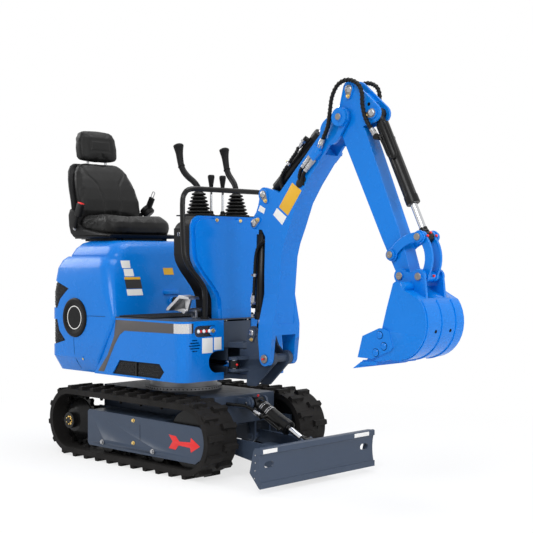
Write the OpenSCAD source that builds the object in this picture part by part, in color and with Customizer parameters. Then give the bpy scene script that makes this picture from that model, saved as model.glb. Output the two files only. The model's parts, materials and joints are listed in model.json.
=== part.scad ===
// Mini excavator on rubber tracks, with an open operator's seat, swing boom, arm, bucket and dozer blade.
// Millimetres. The origin is on the ground under the slew axis, +X points to the blade,
// +Y to the machine's left and +Z up.

/* [Undercarriage] */
// Width over both tracks
tracks_w = 780; // [740:10:840]
// Width of one rubber track
belt_w = 180; // [170:5:190]
// Distance between the idler and sprocket axles
axle_base = 890; // [860:10:920]
// Height of a track over its lugs
track_h = 356; // [350:1:362]
// Height of a lug above the belt
lug_h = 17; // [14:1:20]
// Thickness of the belt
belt_t = 26; // [22:1:28]
// Lugs in each of the two staggered rows of a track
lugs_per_row = 30; // [28:1:32]
// Guide horns along each side of a track's inside
horns_per_row = 18; // [16:1:20]
// Top of the chassis box
chassis_top = 352; // [346:1:356]

/* [House] */
// Underside of the slewing house
house_bottom = 427; // [420:1:435]
// Height of the operator's floor
floor_z = 715; // [705:1:725]
// Half the width of the house
house_half_w = 350; // [340:1:360]
// Front face of the house
house_front = 393; // [385:1:398]
// Radius of the tail about the slew axis
tail_r = 704; // [690:1:712]
// Top of the hood under the seat
hood_top = 1090; // [1080:1:1100]
// Wall thickness of the covers
wall = 6; // [4:1:8]

/* [Working arm] */
// Half the width of the boom
boom_half_w = 55; // [52:1:58]
// Half the width of the arm
arm_half_w = 38; // [36:1:39]
// Half the width of the bucket
bucket_half_w = 131; // [120:1:140]
// Radius of the cylinder barrels
barrel_r = 28; // [25:1:29]
// Radius of the chromed rods
rod_r = 15; // [13:1:17]

/* [Blade] */
// Half the width of the blade
blade_half_w = 378; // [360:1:390]
// Height of the blade's lower edge above the ground
blade_bottom = 26; // [20:1:32]
// Height of the blade
blade_h = 168; // [160:1:180]

/* [Hidden] */
$fn = 48;

// Running clearance of a pin in its bore, and the gap between bodies that move past each other
fit = 0.05;
gap = 3;

// Points of the linkage, as [x, z] in the machine's mid plane
boom_foot = [665, 541];
boom_rod_eye = [546, 653];
boom_barrel_eye = [563, 1163];
arm_barrel_eye = [623, 1294];
arm_pivot = [1092, 1610];
arm_rod_eye = [1125, 1728];
bucket_barrel_eye = [1254, 1615];
rocker_pivot = [1365, 1016];
link_top = [1506, 1089];
bucket_pivot = [1423, 929];
link_foot = [1518, 928];
swing_x = 462;
swing_rod_eye = [485, -112];
swing_barrel_eye = [-60, -112];
swing_cyl_z = 507;
blade_pivot = [400, 140];
blade_barrel_eye = [518, 322];
blade_rod_eye = [846, 166];

// Hoses: ends at the couplers and points along the loop, on the left side
hose_r = 9;
hose_gap = 0.15;
hose_y = 68;
hose_from = [1000, hose_y, 1522];
hose_lead = [1010, hose_y, 1540];
hose_loop = [[1028, hose_y, 1576], [1040, hose_y, 1640], [1052, hose_y, 1700], [1086, 68, 1749],
    [1138, 66, 1764], [1190, 64, 1744], [1212, 60, 1704], [1212, 56, 1652], [1224, 52, 1598],
    [1244, 50, 1562]];
hose_to = [1258, 50, 1545];
port = [1286, 1511];
port_end = [port[0], hose_to[1], port[1]];

// Cylinder hoses, on the right side: from a boss on the boom or the chassis to a fitting beside the barrel
line_r = 8;
boom_line = [[630.6, -36, 1084], [614, -36, 1084], [594, -38, 1076], [578, -39, 1061], [566, -40, 1043],
    [559, -41, 1020], [555, -42, 990], [552, -42, 950], [550, -42, 910], [547, -41, 880],
    [544, -40, 850]];
arm_line = [[735, -38, 1312], [723, -38, 1325], [717, -38, 1344], [718, -38, 1362], [724, -38, 1380],
    [735, -38, 1396], [748, -39, 1409], [768, -39, 1430], [788, -38, 1454], [806, -34, 1476]];
blade_line = [[445.3, -120, 318], [462, -120, 318], [482, -111, 317], [502, -95, 316], [520, -79, 312],
    [538, -67, 304]];

// Pin radii
pin_r = 16;
foot_pin_r = 20;
king_pin_r = 22;

// Track
axle_z = track_h / 2;
tip_r = track_h / 2;
belt_r = tip_r - lug_h;
inner_r = belt_r - belt_t;
track_y = (tracks_w - belt_w) / 2;
half_base = axle_base / 2;

// Blue, grey, black and metal colours
blue = [0.04, 0.45, 0.83];
slate = [0.25, 0.29, 0.35];
black = [0.07, 0.07, 0.08];
chrome = [0.85, 0.86, 0.88];

function polar(c, r, a) = [c[0] + r * cos(a), c[1] + r * sin(a)];
function arc(c, r, a0, a1, n) = [for (i = [0:n]) polar(c, r, a0 + (a1 - a0) * i / n)];
function smooth(t) = t <= 0 ? 0 : t >= 1 ? 1 : t * t * (3 - 2 * t);
function heading(p, q) = atan2(q[1] - p[1], q[0] - p[0]);
function toward(p, q, d) = p + d * (q - p) / norm(q - p);
function span(p, q) = norm([q[0] - p[0], q[1] - p[1]]);
// A point beside a cylinder's line: a length along it, a height to the left of its line, and a y
function beside(p, q, s, h, y) =
    let (a = heading(p, q)) [p[0] + s * cos(a) - h * sin(a), y, p[1] + s * sin(a) + h * cos(a)];

// A side view outline, drawn in x and z, as a plate between two y values
module plate(y0, y1) {
    translate([0, y1, 0]) rotate([90, 0, 0]) linear_extrude(y1 - y0) children();
}

// The same plate on both sides of the mid plane
module plates(y0, y1) {
    plate(y0, y1) children();
    plate(-y1, -y0) children();
}

// A round bar across the machine at a point of the side view
module cross_bar(p, r, y0, y1) {
    translate([p[0], y0, p[1]]) rotate([-90, 0, 0]) cylinder(h = y1 - y0, r = r);
}

// A round bar along the line from one point of the side view towards another
module bar_along(p, q, from, to, r) {
    translate([p[0], 0, p[1]]) rotate([0, 90 - heading(p, q), 0])
        translate([0, 0, from]) cylinder(h = to - from, r = r);
}

// A round bar from a point in space along a direction
module bar3(p, v, h, r) {
    translate(p) rotate([0, acos(v[2] / norm(v)), atan2(v[1], v[0])]) cylinder(h = h, r = r);
}

// A flat link between two round ends, in the side view
module link2d(p, rp, q, rq) {
    a = heading(p, q);
    d = acos((rp - rq) / span(p, q));
    polygon([polar(p, rp, a + d), polar(q, rq, a + d), polar(q, rq, a - d), polar(p, rp, a - d)]);
    translate(p) circle(rp);
    translate(q) circle(rq);
}

// Signed sides: +1 is the machine's left
module at_side(side) {
    if (side > 0) children();
    else mirror([0, 1, 0]) children();
}

module on_both_sides() {
    children();
    mirror([0, 1, 0]) children();
}

// A tube of n sides swept along a list of points
function sub(a, b) = [a[0] - b[0], a[1] - b[1], a[2] - b[2]];
function unit(v) = v / norm(v);
function tangent(path, i) = unit(sub(path[min(i + 1, len(path) - 1)], path[max(i - 1, 0)]));
function ring(path, i, r, n, up) =
    let (t = tangent(path, i), u = unit(cross(t, up)), v = cross(t, u))
    [for (k = [0:n - 1]) path[i] + r * (cos(360 * k / n) * u + sin(360 * k / n) * v)];
module tube(path, r, n, up) {
    rings = len(path);
    points = [for (i = [0:rings - 1]) each ring(path, i, r, n, up)];
    sides = [for (i = [0:rings - 2]) for (k = [0:n - 1])
        [i * n + k, (i + 1) * n + k, (i + 1) * n + (k + 1) % n, i * n + (k + 1) % n]];
    caps = [[for (k = [0:n - 1]) k], [for (k = [n - 1:-1:0]) (rings - 1) * n + k]];
    polyhedron(points = points, faces = concat(sides, caps), convexity = 6);
}

// Catmull-Rom curve through hand placed points
function curve_at(p, i, t) =
    let (a = p[max(i - 1, 0)], b = p[i], c = p[i + 1], d = p[min(i + 2, len(p) - 1)])
    0.5 * (2 * b + (c - a) * t + (2 * a - 5 * b + 4 * c - d) * t * t + (3 * b - a - 3 * c + d) * t * t * t);
function curve(p, steps) = concat(
    [for (i = [0:len(p) - 2]) for (s = [0:steps - 1]) curve_at(p, i, s / steps)], [p[len(p) - 1]]);

// Chassis: box between the tracks with cross beams into the track frames and lugs for the blade
chassis_x0 = -400;
chassis_x1 = 445;
chassis_half_w = track_y - belt_w / 2 - 14;
chassis_bottom = 185;
module chassis() {
    color(slate) {
        difference() {
            translate([chassis_x0, -chassis_half_w, chassis_bottom])
                cube([chassis_x1 - chassis_x0, 2 * chassis_half_w, chassis_top - chassis_bottom]);
            // Open front below the top plate, where the blade frame swings
            translate([chassis_x1 - 130, -chassis_half_w + 12, chassis_bottom - 1])
                cube([130 - 14, 2 * chassis_half_w - 24, 70]);
            translate([chassis_x1 - 20, -chassis_half_w + 12, chassis_bottom - 1])
                cube([40, 2 * chassis_half_w - 24, 34]);
        }
        // Cross beams into the two track frames
        for (x = [-250, 120])
            translate([x, -frame_inner_y, 196]) cube([110, 2 * frame_inner_y, 44]);
        // Hinge lugs and pins of the blade frame, on both sides of each of its arms
        for (y = [arm_plate_y - 56, arm_plate_y + 44])
            plates(y, y + 12) {
                translate(blade_pivot) circle(30);
                translate([blade_pivot[0] - 30, blade_pivot[1]])
                    square([60, chassis_top - blade_pivot[1] - 20]);
            }
        on_both_sides() cross_bar(blade_pivot, pin_r, arm_plate_y - 60, arm_plate_y + 60);
        // Lugs and pin of the blade cylinder
        plates(41, 53) {
            translate(blade_barrel_eye) circle(30);
            translate([chassis_x1 - 2, blade_barrel_eye[1] - 30])
                square([blade_barrel_eye[0] - chassis_x1 + 2, 52]);
        }
        cross_bar(blade_barrel_eye, pin_r, -60, 60);
    }
}

// Slew ring: fixed ring with a flange on the chassis
slew_flange_r = 190;
race_z = house_bottom - 30;
module slew_ring() {
    color(slate) translate([0, 0, chassis_top]) difference() {
        union() {
            cylinder(h = 16, r = slew_flange_r, $fn = 96);
            cylinder(h = race_z - chassis_top - 0.5, r = slew_flange_r - 22, $fn = 96);
        }
        translate([0, 0, -1]) cylinder(h = 90, r = 110, $fn = 72);
    }
}

// Track frame inside one track: outer and inner plates with a box beam, roller and idler axles
frame_outer_y = tracks_w / 2 - 15;
frame_inner_y = track_y - 68;
frame_plate = 10;
frame_rear = -half_base + 148;
frame_tip = half_base + 127;
module frame_outline() {
    polygon([[frame_rear, 84], [frame_rear + 12, 72], [frame_tip - 67, 76], [frame_tip - 27, 100],
        [frame_tip, 173], [frame_tip - 22, 236], [frame_tip - 37, 244], [frame_rear + 12, 250],
        [frame_rear, 238]]);
}
module track_frame() {
    color(slate) {
        plate(frame_outer_y - frame_plate, frame_outer_y) frame_outline();
        plate(frame_inner_y, frame_inner_y + frame_plate)
            polygon([[frame_rear - 83, 150], [frame_rear, 84], [frame_tip - 52, 84],
                [frame_tip - 52, 240], [frame_rear - 83, 250]]);
        plate(frame_inner_y, frame_outer_y - 1)
            polygon([[frame_rear + 7, 170], [frame_tip - 302, 170], [frame_tip - 302, 246],
                [frame_rear + 7, 246]]);
        // Idler fork arm on the beam's front end
        plate(track_y - 12, track_y + 12)
            polygon([[frame_tip - 312, 180], [frame_tip - 272, 180], [frame_tip - 272, 236],
                [frame_tip - 312, 236]]);
        // Axles of the rollers, the idler and the sprocket
        for (x = roller_x)
            cross_bar([x, roller_z], 12, frame_inner_y, frame_outer_y + 6);
        cross_bar([half_base, axle_z], 20, frame_inner_y, frame_outer_y - 1);
        cross_bar([-half_base, axle_z], 34, frame_inner_y - 14, track_y - 12);
        plate(frame_inner_y, frame_inner_y + frame_plate)
            link2d([-half_base, axle_z], 62, [-half_base + 85, 200], 48);
    }
}

// Rubber track: a belt loop with two staggered rows of lugs and two rows of guide horns
function loop_outline(r) = concat(arc([half_base, axle_z], r, -90, 90, 28),
    arc([-half_base, axle_z], r, 90, 270, 28));
loop_len = 2 * axle_base + 2 * PI * belt_r;
half_turn = PI * belt_r;
// Place on the loop at a length along it, as [x, z, angle of the outward normal]
function loop_at(s, r) =
    s < axle_base ? [half_base - s, axle_z + r, 90]
    : s < axle_base + half_turn
        ? concat(polar([-half_base, axle_z], r, 90 + (s - axle_base) * 180 / half_turn),
            90 + (s - axle_base) * 180 / half_turn)
    : s < 2 * axle_base + half_turn ? [-half_base + s - axle_base - half_turn, axle_z - r, 270]
    : concat(polar([half_base, axle_z], r, 270 + (s - 2 * axle_base - half_turn) * 180 / half_turn),
        270 + (s - 2 * axle_base - half_turn) * 180 / half_turn);
lug_sink = 5;
lug_foot = 34;
lug_top = 22;
lug_w = 82;
horn_h = 24;
module on_loop(s, r) {
    p = loop_at(s, r);
    translate([p[0], 0, p[1]]) rotate([0, 90 - p[2], 0]) children();
}
// A lug: a bar across half the belt and a lower stem that trails along it
stem_w = 26;
stem_h = lug_h - 5;
stem_l = 58;
module lug(y0) {
    plate(y0, y0 + lug_w) polygon([[-lug_foot / 2, -lug_sink], [lug_foot / 2, -lug_sink],
        [lug_top / 2, lug_h], [-lug_top / 2, lug_h]]);
    plate(y0 + (lug_w - stem_w) / 2, y0 + (lug_w + stem_w) / 2)
        polygon([[0, -3 * lug_sink], [0, stem_h], [stem_l, -3 * lug_sink]]);
}
module horn() {
    plates(16, 30) polygon([[-18, lug_sink], [18, lug_sink], [0, -horn_h]]);
}
module track(side) {
    color(black) at_side(side) translate([0, track_y, 0]) {
        plate(-belt_w / 2, belt_w / 2) difference() {
            polygon(loop_outline(belt_r));
            polygon(loop_outline(inner_r));
        }
        for (i = [0:lugs_per_row - 1]) {
            on_loop(loop_len * i / lugs_per_row, belt_r) lug(-belt_w / 2 + 4);
            on_loop(loop_len * (i + 0.5) / lugs_per_row, belt_r) lug(belt_w / 2 - 4 - lug_w);
        }
        for (i = [0:horns_per_row - 1])
            on_loop(loop_len * (i + 0.5) / horns_per_row, inner_r) horn();
    }
}

// Sprocket with its dished disc and hub
sprocket_r = inner_r - 2;
sprocket_root = sprocket_r - 18;
sprocket_teeth = 17;
sprocket_pitch = 360 / sprocket_teeth;
hub_end = belt_w / 2 - 6;
function tooth(a) = [polar([0, 0], sprocket_root, a - 0.34 * sprocket_pitch),
    polar([0, 0], sprocket_r, a - 0.14 * sprocket_pitch),
    polar([0, 0], sprocket_r, a + 0.14 * sprocket_pitch),
    polar([0, 0], sprocket_root, a + 0.34 * sprocket_pitch)];
module sprocket() {
    color(black) translate([-half_base, track_y, axle_z]) {
        plate(-12, 12) polygon([for (i = [0:sprocket_teeth - 1]) each tooth((i + 0.5) * sprocket_pitch)]);
        // Dished disc, its hub and its nut
        rotate([-90, 0, 0]) rotate_extrude()
            polygon([[0, 0], [sprocket_root - 8, 0], [sprocket_root - 8, 16], [58, 54], [40, 56],
                [40, hub_end], [26, hub_end], [26, hub_end - 12], [16, hub_end - 12], [16, hub_end + 5],
                [0, hub_end + 5]]);
    }
}

// Front idler wheel
module idler() {
    color(slate) difference() {
        union() {
            cross_bar([half_base, axle_z], inner_r - 0.4, track_y - 56, track_y - 31);
            cross_bar([half_base, axle_z], inner_r - 0.4, track_y + 31, track_y + 52);
            cross_bar([half_base, axle_z], inner_r - 40, track_y - 32, track_y + 32);
        }
        cross_bar([half_base, axle_z], 20.2, track_y - 60, track_y + 60);
    }
}

// Lower rollers, two on each track
roller_x = [frame_rear + 127, frame_tip - 356];
roller_r = 56;
roller_z = axle_z - inner_r + roller_r + 0.4;
module rollers() {
    color(slate) for (x = roller_x) difference() {
        union() {
            cross_bar([x, roller_z], roller_r, track_y - 54, track_y - 31);
            cross_bar([x, roller_z], roller_r, track_y + 31, track_y + 50);
            cross_bar([x, roller_z], roller_r - 26, track_y - 32, track_y + 32);
        }
        cross_bar([x, roller_z], 12.2, track_y - 60, track_y + 60);
    }
}

// Dozer blade: a concave board with a folded top, end plates and tie-down slots
blade_front = 928;
blade_t = 10;
blade_curve_r = 260;
blade_top = blade_bottom + blade_h;
slot_y = blade_half_w - 62;
slot_w = 28;
slot_l = 56;
slot_z = blade_bottom + 96;
blade_chord_a = asin(blade_h / 2 / blade_curve_r);
blade_curve_c = [blade_front + blade_curve_r * cos(blade_chord_a), blade_bottom + blade_h / 2];
module blade() {
    color(slate) difference() {
        union() {
            // Board between two concentric arcs
            plate(-blade_half_w, blade_half_w)
                polygon(concat(
                    arc(blade_curve_c, blade_curve_r, 180 - blade_chord_a, 180 + blade_chord_a, 14),
                    arc(blade_curve_c, blade_curve_r + blade_t, 180 + blade_chord_a, 180 - blade_chord_a,
                        14)));
            // Folded top lip
            translate([blade_front - 40, -blade_half_w, blade_top - 24])
                difference() {
                    cube([40, 2 * blade_half_w, 24]);
                    translate([8, -1, -1]) cube([20, 2 * blade_half_w + 2, 16]);
                }
            // End plates behind the board
            plates(blade_half_w - 10, blade_half_w)
                polygon(concat([[blade_front - 46, blade_top - 8], [blade_front - 70, blade_bottom + 60],
                    [blade_front - 14, blade_bottom]],
                    arc(blade_curve_c, blade_curve_r + 2, 180 + blade_chord_a, 180 - blade_chord_a, 14)));
            // Cutting edge along the foot
            translate([blade_front - 14, -blade_half_w, blade_bottom]) cube([14, 2 * blade_half_w, 26]);
        }
        for (s = [-1, 1]) translate([blade_front - 120, s * slot_y, slot_z]) rotate([0, 90, 0]) {
            for (t = [-1, 1]) translate([0, t * (slot_l - slot_w) / 2, 0])
                cylinder(h = 140, r = slot_w / 2);
            translate([-slot_w / 2, -(slot_l - slot_w) / 2, 0]) cube([slot_w, slot_l - slot_w, 140]);
        }
    }
}

// Blade frame: two arms with a sloping web plate and lugs for the cylinder rod
arm_plate_y = chassis_half_w - 62;
module blade_frame() {
    color(slate) {
        plates(arm_plate_y - 8, arm_plate_y + 8) difference() {
            union() {
                polygon(concat([[blade_pivot[0], blade_pivot[1] - 30], [860, 44]], board_back(44, 150),
                    [[820, 156], [blade_pivot[0], blade_pivot[1] + 30]]));
                translate(blade_pivot) circle(30);
            }
            translate(blade_pivot) circle(pin_r + fit);
        }
        // Web plate between the arms
        plate(-arm_plate_y, arm_plate_y)
            polygon(concat([[500, 118], [500, 106]], board_back(84, 96)));
        // Lugs of the cylinder rod on the board's back
        plates(26, 36) polygon(concat([[800, 92]], board_back(92, 160),
            [[868, 172], [836, 192], [816, 172]]));
    }
}
// Points up the back of the blade's board, between two heights
seam = 0.3;
function blade_back_x(z) =
    blade_curve_c[0] - sqrt(pow(blade_curve_r + blade_t + seam, 2) - pow(z - blade_curve_c[1], 2));
function board_back(z0, z1) = [for (i = [0:6]) let (z = z0 + (z1 - z0) * i / 6) [blade_back_x(z), z]];

// A cylinder barrel: eye, narrow neck, body from a start to a length along its line, and a gland
end_cap = 12;
module barrel(p, q, start, len, r, eye_r, eye_half_w) {
    difference() {
        union() {
            bar_along(p, q, start, len, r);
            bar_along(p, q, len - 34, len - 4, r + 2);
            bar_along(p, q, eye_r - 8, start + 1, eye_half_w - 2);
            cross_bar(p, eye_r, -eye_half_w, eye_half_w);
        }
        cross_bar(p, pin_r + fit, -eye_half_w - 1, eye_half_w + 1);
        bar_along(p, q, start + end_cap, len + 1, rod_r + fit);
    }
}
// A chromed rod from inside its barrel to its eye
module rod(p, q, start, eye_r, eye_half_w) {
    bar_along(p, q, start, span(p, q) - eye_r + 4, rod_r);
    cross_bar(q, eye_r, -eye_half_w, eye_half_w);
    cross_bar(q, pin_r, -eye_half_w - 3, eye_half_w + 3);
}

// A port on a barrel at a length along it: a stub out to a point beside it, and a fitting back to the hose
fitting_r = 10;
fitting_l = 52;
module port_fitting(p, q, s, h, y) {
    axis = beside(p, q, s, 0, 0);
    out = beside(p, q, s, h, y) - axis;
    bar3(axis + out / 2, out, norm(out) / 2 + fitting_r - 2, fitting_r - 1);
    bar3(axis + out, beside(p, q, s - 1, h, y) - axis - out, fitting_l, fitting_r);
}
// A thin pipe along a barrel between two lengths, with a stub into the barrel at its far end
pipe_r = 5;
module barrel_pipe(p, q, s0, s1, h, y) {
    from = beside(p, q, s0, h, y);
    to = beside(p, q, s1, h, y);
    inward = beside(p, q, s1, 0, 0) - to;
    bar3(from, to - from, s1 - s0, pipe_r);
    bar3(to - pipe_r * unit(inward), inward, norm(inward) / 2 + pipe_r, pipe_r + 2);
}

blade_barrel_r = 33;
blade_port = [112, -8, -62];
module blade_barrel() {
    color(black) {
        barrel(blade_barrel_eye, blade_rod_eye, 44, 236, blade_barrel_r, 28, 30);
        port_fitting(blade_barrel_eye, blade_rod_eye, blade_port[0], blade_port[1], blade_port[2]);
        barrel_pipe(blade_barrel_eye, blade_rod_eye, blade_port[0], 216, blade_port[1] - 4, -44);
    }
}
module blade_rod() {
    color(chrome) rod(blade_barrel_eye, blade_rod_eye, 140, 24, 20);
}

// Turntable: base plate of the house with its slew race, king post clevis and front plate
base_t = 14;
hood_foot_inset = 20;
front_plate_half_w = 88;
clevis_half_w = 62;
clevis_r = 46;
lug_low = [house_bottom + 3, house_bottom + 25];
lug_high = [577, 603];
function tail_fillet_x(hw, r, f) = -sqrt(pow(r - f, 2) - pow(hw - f, 2));
// Plan of the house: rounded front corners and a tail that is part of a circle
function house_plan(inset, front_x, front_r) =
    let (hw = house_half_w - inset, r = tail_r - inset, f = 60, cx = tail_fillet_x(hw, r, f),
        a = atan2(hw - f, cx))
    concat(arc([front_x - front_r, -hw + front_r], front_r, -90, 0, 6),
        arc([front_x - front_r, hw - front_r], front_r, 0, 90, 6), arc([cx, hw - f], f, 90, a, 6),
        arc([0, 0], r, a, 360 - a, 18), arc([cx, -hw + f], f, 360 - a, 270, 6));
module turntable() {
    color(slate) {
        translate([0, 0, house_bottom])
            linear_extrude(base_t) polygon(house_plan(hood_foot_inset + wall, house_front - wall - 4, 50));
        // Stool and pin of the swing cylinder
        translate([swing_barrel_eye[0], swing_barrel_eye[1], house_bottom]) {
            cylinder(h = swing_cyl_z - swing_barrel_r - 1 - house_bottom, r = 30);
            cylinder(h = swing_cyl_z + 34 - house_bottom, r = pin_r);
        }
        translate([0, 0, race_z]) difference() {
            cylinder(h = house_bottom - race_z + 1, r = slew_flange_r - 6, $fn = 96);
            translate([0, 0, -1]) cylinder(h = 40, r = 120, $fn = 72);
        }
        // Clevis plates and pin of the boom swing
        for (z = [lug_low, lug_high]) translate([0, 0, z[0]]) linear_extrude(z[1] - z[0]) {
                polygon([[300, -clevis_half_w], [380, -clevis_half_w], [swing_x, -clevis_r],
                    [swing_x, clevis_r], [380, clevis_half_w], [300, clevis_half_w]]);
                translate([swing_x, 0]) circle(clevis_r);
        }
        translate([swing_x, 0, lug_low[0]]) cylinder(h = lug_high[1] - lug_low[0] + 6, r = king_pin_r);
        // Post plates that carry the clevis
        for (s = [-1, 1]) translate([250, s * (clevis_half_w - 5) - 5, house_bottom])
            cube([130, 10, floor_z - house_bottom - wall]);
        // Front plate above the clevis
        translate([house_front - 12, -front_plate_half_w, lug_high[0]])
            cube([10, 2 * front_plate_half_w, floor_z - lug_high[0] - 14]);
    }
}

// Hood: bulging cheeks round the tail, and a narrower seat box that rises out of them
// Levels of both: height, how far the plan is drawn in, front face and radius of the front corners
cheek_bulge = 14;
cheek_front = -106;
// Farther than anything reaches, for cuts
beyond = 1000;
cheek_top = 1010;
box_front = -190;
cheek_levels = [[house_bottom, 34, -276, 16], [500, 0, -222, 16], [700, 0, cheek_front, 18],
    [720, 0, cheek_front, 24], [830, 0, -140, 60], [950, 18, -178, 66], [990, 38, -196, 70],
    [cheek_top, 62, -226, 70]];
box_levels = [[700, 66, -130, 60], [1016, 76, box_front, 70], [1052, 96, box_front - 8, 74],
    [1078, 124, box_front - 26, 80], [hood_top, 156, box_front - 54, 84]];
upper_z = 760;
module crown(levels, inset) {
    hull() for (l = levels)
        translate([0, 0, l[0] + (l[0] > upper_z ? -inset - 1 : inset)]) linear_extrude(1)
            polygon(house_plan(l[1] - cheek_bulge + inset, l[2] - inset, l[3]));
}
// Outlines of the two grilles in each cheek, beside the round disc
module cheek_grilles(m) {
    polygon([[-760, 745 - m], [-575 + m, 745 - m], [-548 + m, 792], [-478 + 2 * m, 846], [-600, 884 + m],
        [-760, 872 + m]]);
    polygon([[-760, 560 - m], [-600, 556 - m], [-504 + 2 * m, 580], [-556 + m, 628], [-575 + m, 686 + m],
        [-760, 686 + m]]);
}
grille_wrap_y = 230;
module hood() {
    color(blue) difference() {
        union() {
            crown(cheek_levels, 0);
            crown(box_levels, 0);
        }
        crown(cheek_levels, wall);
        crown(box_levels, wall);
        // Open underneath, over the base plate
        translate([0, 0, house_bottom - 10])
            linear_extrude(30) polygon(house_plan(hood_foot_inset + wall, 0, 60));
        plates(grille_wrap_y, 420) cheek_grilles(0);
    }
}

// Lower side covers, each wrapping round a front corner
skirt_top = floor_z - wall;
skirt_inner_y = 92;
oval_z = [462, 565];
oval_y = -137;
module skirt_shell() {
    difference() {
        translate([0, 0, house_bottom]) linear_extrude(skirt_top - house_bottom) difference() {
            polygon(house_plan(0, house_front, 56));
            polygon(house_plan(wall, house_front - wall, 50));
        }
        // Rear end, just in front of the cheek's edge
        plate(-beyond, beyond) polygon([[-beyond, 400], [-276 + seam, 400], [-276 + seam, house_bottom],
            [-222 + seam, 500], [cheek_front + seam, 700], [cheek_front + seam, 800], [-beyond, 800]]);
        translate([0, -skirt_inner_y, 0]) cube([beyond, 2 * skirt_inner_y, beyond]);
    }
}
grille_x = [-90, 262];
grille_z = [436, 506];
lamp_z = 661;
lamp_y = [-252, -163];
lamp_pod_r = 26;
vent_c = [-275, 596];
vent_pitch = 12.5;
vent_half_l = [15, 29, 33, 29, 15];
vent_h = 5;
// Pill outline of the lamp pod on the front face, grown by a margin, as a solid between two x values
module lamp_pod(x0, x1, m) {
    translate([x0, 0, lamp_z]) rotate([0, 90, 0]) {
        for (y = lamp_y) translate([0, y, 0]) cylinder(h = x1 - x0, r = lamp_pod_r + m);
        translate([-lamp_pod_r - m, lamp_y[0], 0])
            cube([2 * (lamp_pod_r + m), lamp_y[1] - lamp_y[0], x1 - x0]);
    }
}
module skirt_right() {
    color(blue) difference() {
        intersection() {
            skirt_shell();
            translate([-beyond, -beyond, 0]) cube([2 * beyond, beyond, beyond]);
        }
        // Oval opening for the swing cylinder
        translate([house_front - 40, 0, (oval_z[0] + oval_z[1]) / 2]) rotate([0, 90, 0]) {
            translate([0, oval_y, 0]) cylinder(h = 80, r = (oval_z[1] - oval_z[0]) / 2);
            translate([-(oval_z[1] - oval_z[0]) / 2, oval_y, 0])
                cube([oval_z[1] - oval_z[0], 100, 80]);
        }
        plate(-house_half_w - 20, -house_half_w + 20) grille_outline(0);
        lamp_pod(house_front - 40, house_front + 10, 0);
        for (i = [0:len(vent_half_l) - 1])
            translate([house_front - 40, vent_c[0] - vent_half_l[i],
                vent_c[1] + (i - 2) * vent_pitch - vent_h / 2])
                cube([50, 2 * vent_half_l[i], vent_h]);
    }
}
// Outline of the grille, grown by a margin
module grille_outline(m) {
    polygon([[grille_x[0] - 40 - m, grille_z[0] - m], [grille_x[1] - 30 + m, grille_z[0] - m],
        [grille_x[1] + 1.5 * m, grille_z[0] + 34], [grille_x[1] - 34 + m, grille_z[1] + m],
        [grille_x[0] + 16 - 1.5 * m, grille_z[1] + m]]);
}
module skirt_left() {
    color(blue) intersection() {
        skirt_shell();
        translate([-beyond, 0, 0]) cube([2 * beyond, beyond, beyond]);
    }
}

// Operator's floor and its rubber mat
module floor_shape() {
    difference() {
        polygon(house_plan(0, house_front, 56));
        translate([-beyond, -beyond]) square([beyond + cheek_front, 2 * beyond]);
    }
}
module floor_plate() {
    color(slate) translate([0, 0, floor_z - wall]) linear_extrude(wall) floor_shape();
}
mat_t = 7;
module floor_mat() {
    color(black) translate([0, 0, floor_z]) linear_extrude(mat_t) difference() {
        polygon(house_plan(12, body_rear - 8, 40));
        translate([-beyond, -beyond]) square([beyond + cheek_front + 16, 2 * beyond]);
    }
}

// Engine block on the base plate, inside the hood
module engine() {
    color(black) translate([-560, -190, house_bottom + base_t]) cube([270, 380, 400]);
}

// Grilles behind the openings of the right cover and of the cheeks
grille_t = 4;
module grilles() {
    color(black) {
        plate(-house_half_w + wall, -house_half_w + wall + grille_t) grille_outline(6);
        intersection() {
            plates(grille_wrap_y - 8, 420) cheek_grilles(8);
            difference() {
                crown(cheek_levels, wall);
                crown(cheek_levels, wall + grille_t);
            }
        }
    }
}

// Round dished discs on the tail's cheeks
disc_x = -420;
disc_z = 700;
disc_r = 100;
module tail_discs() {
    color(black) on_both_sides() translate([disc_x, house_half_w + cheek_bulge, disc_z]) rotate([-90, 0, 0])
        rotate_extrude($fn = 72) polygon([[0, 0], [disc_r, 0], [disc_r - 2, 6], [disc_r - 8, 9],
            [disc_r - 20, 9], [disc_r - 34, 4], [0, 4]]);
}

// Lamp pod on the right front, with three lamps
lamp_r = 13;
lamp_pitch = 34;
module front_lamps() {
    color(chrome) {
        lamp_pod(house_front - wall - 5, house_front - wall, 5);
        for (i = [0:2]) translate([house_front - wall - 1, lamp_y[0] + i * lamp_pitch, lamp_z])
            rotate([0, 90, 0])
            cylinder(h = 6, r1 = lamp_r, r2 = lamp_r - 3);
    }
}

// Console: a blue front cover, narrow at the feet and wide at the top, with a black body behind
console_top = 1202;
console_foot_w = 112;
console_top_w = 252;
console_rear = 262;
console_foot_x = 384;
console_head_x = 348;
console_corner = 58;
console_bead = 14;
function console_half_w(z, inset) =
    (console_foot_w + (console_top_w - console_foot_w) * smooth((z - 790) / 230)) - inset;
function console_edge(inset) =
    let (straight = console_top - console_corner - floor_z,
        corner = [console_half_w(console_top, inset) - console_corner, console_top - inset - console_corner])
    concat([for (i = [0:14]) let (z = floor_z + straight * i / 14) [console_half_w(z, inset), z]],
        arc(corner, console_corner, 10, 84, 6));
function flip(points) = [for (i = [len(points) - 1:-1:0]) [-points[i][0], points[i][1]]];
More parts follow.
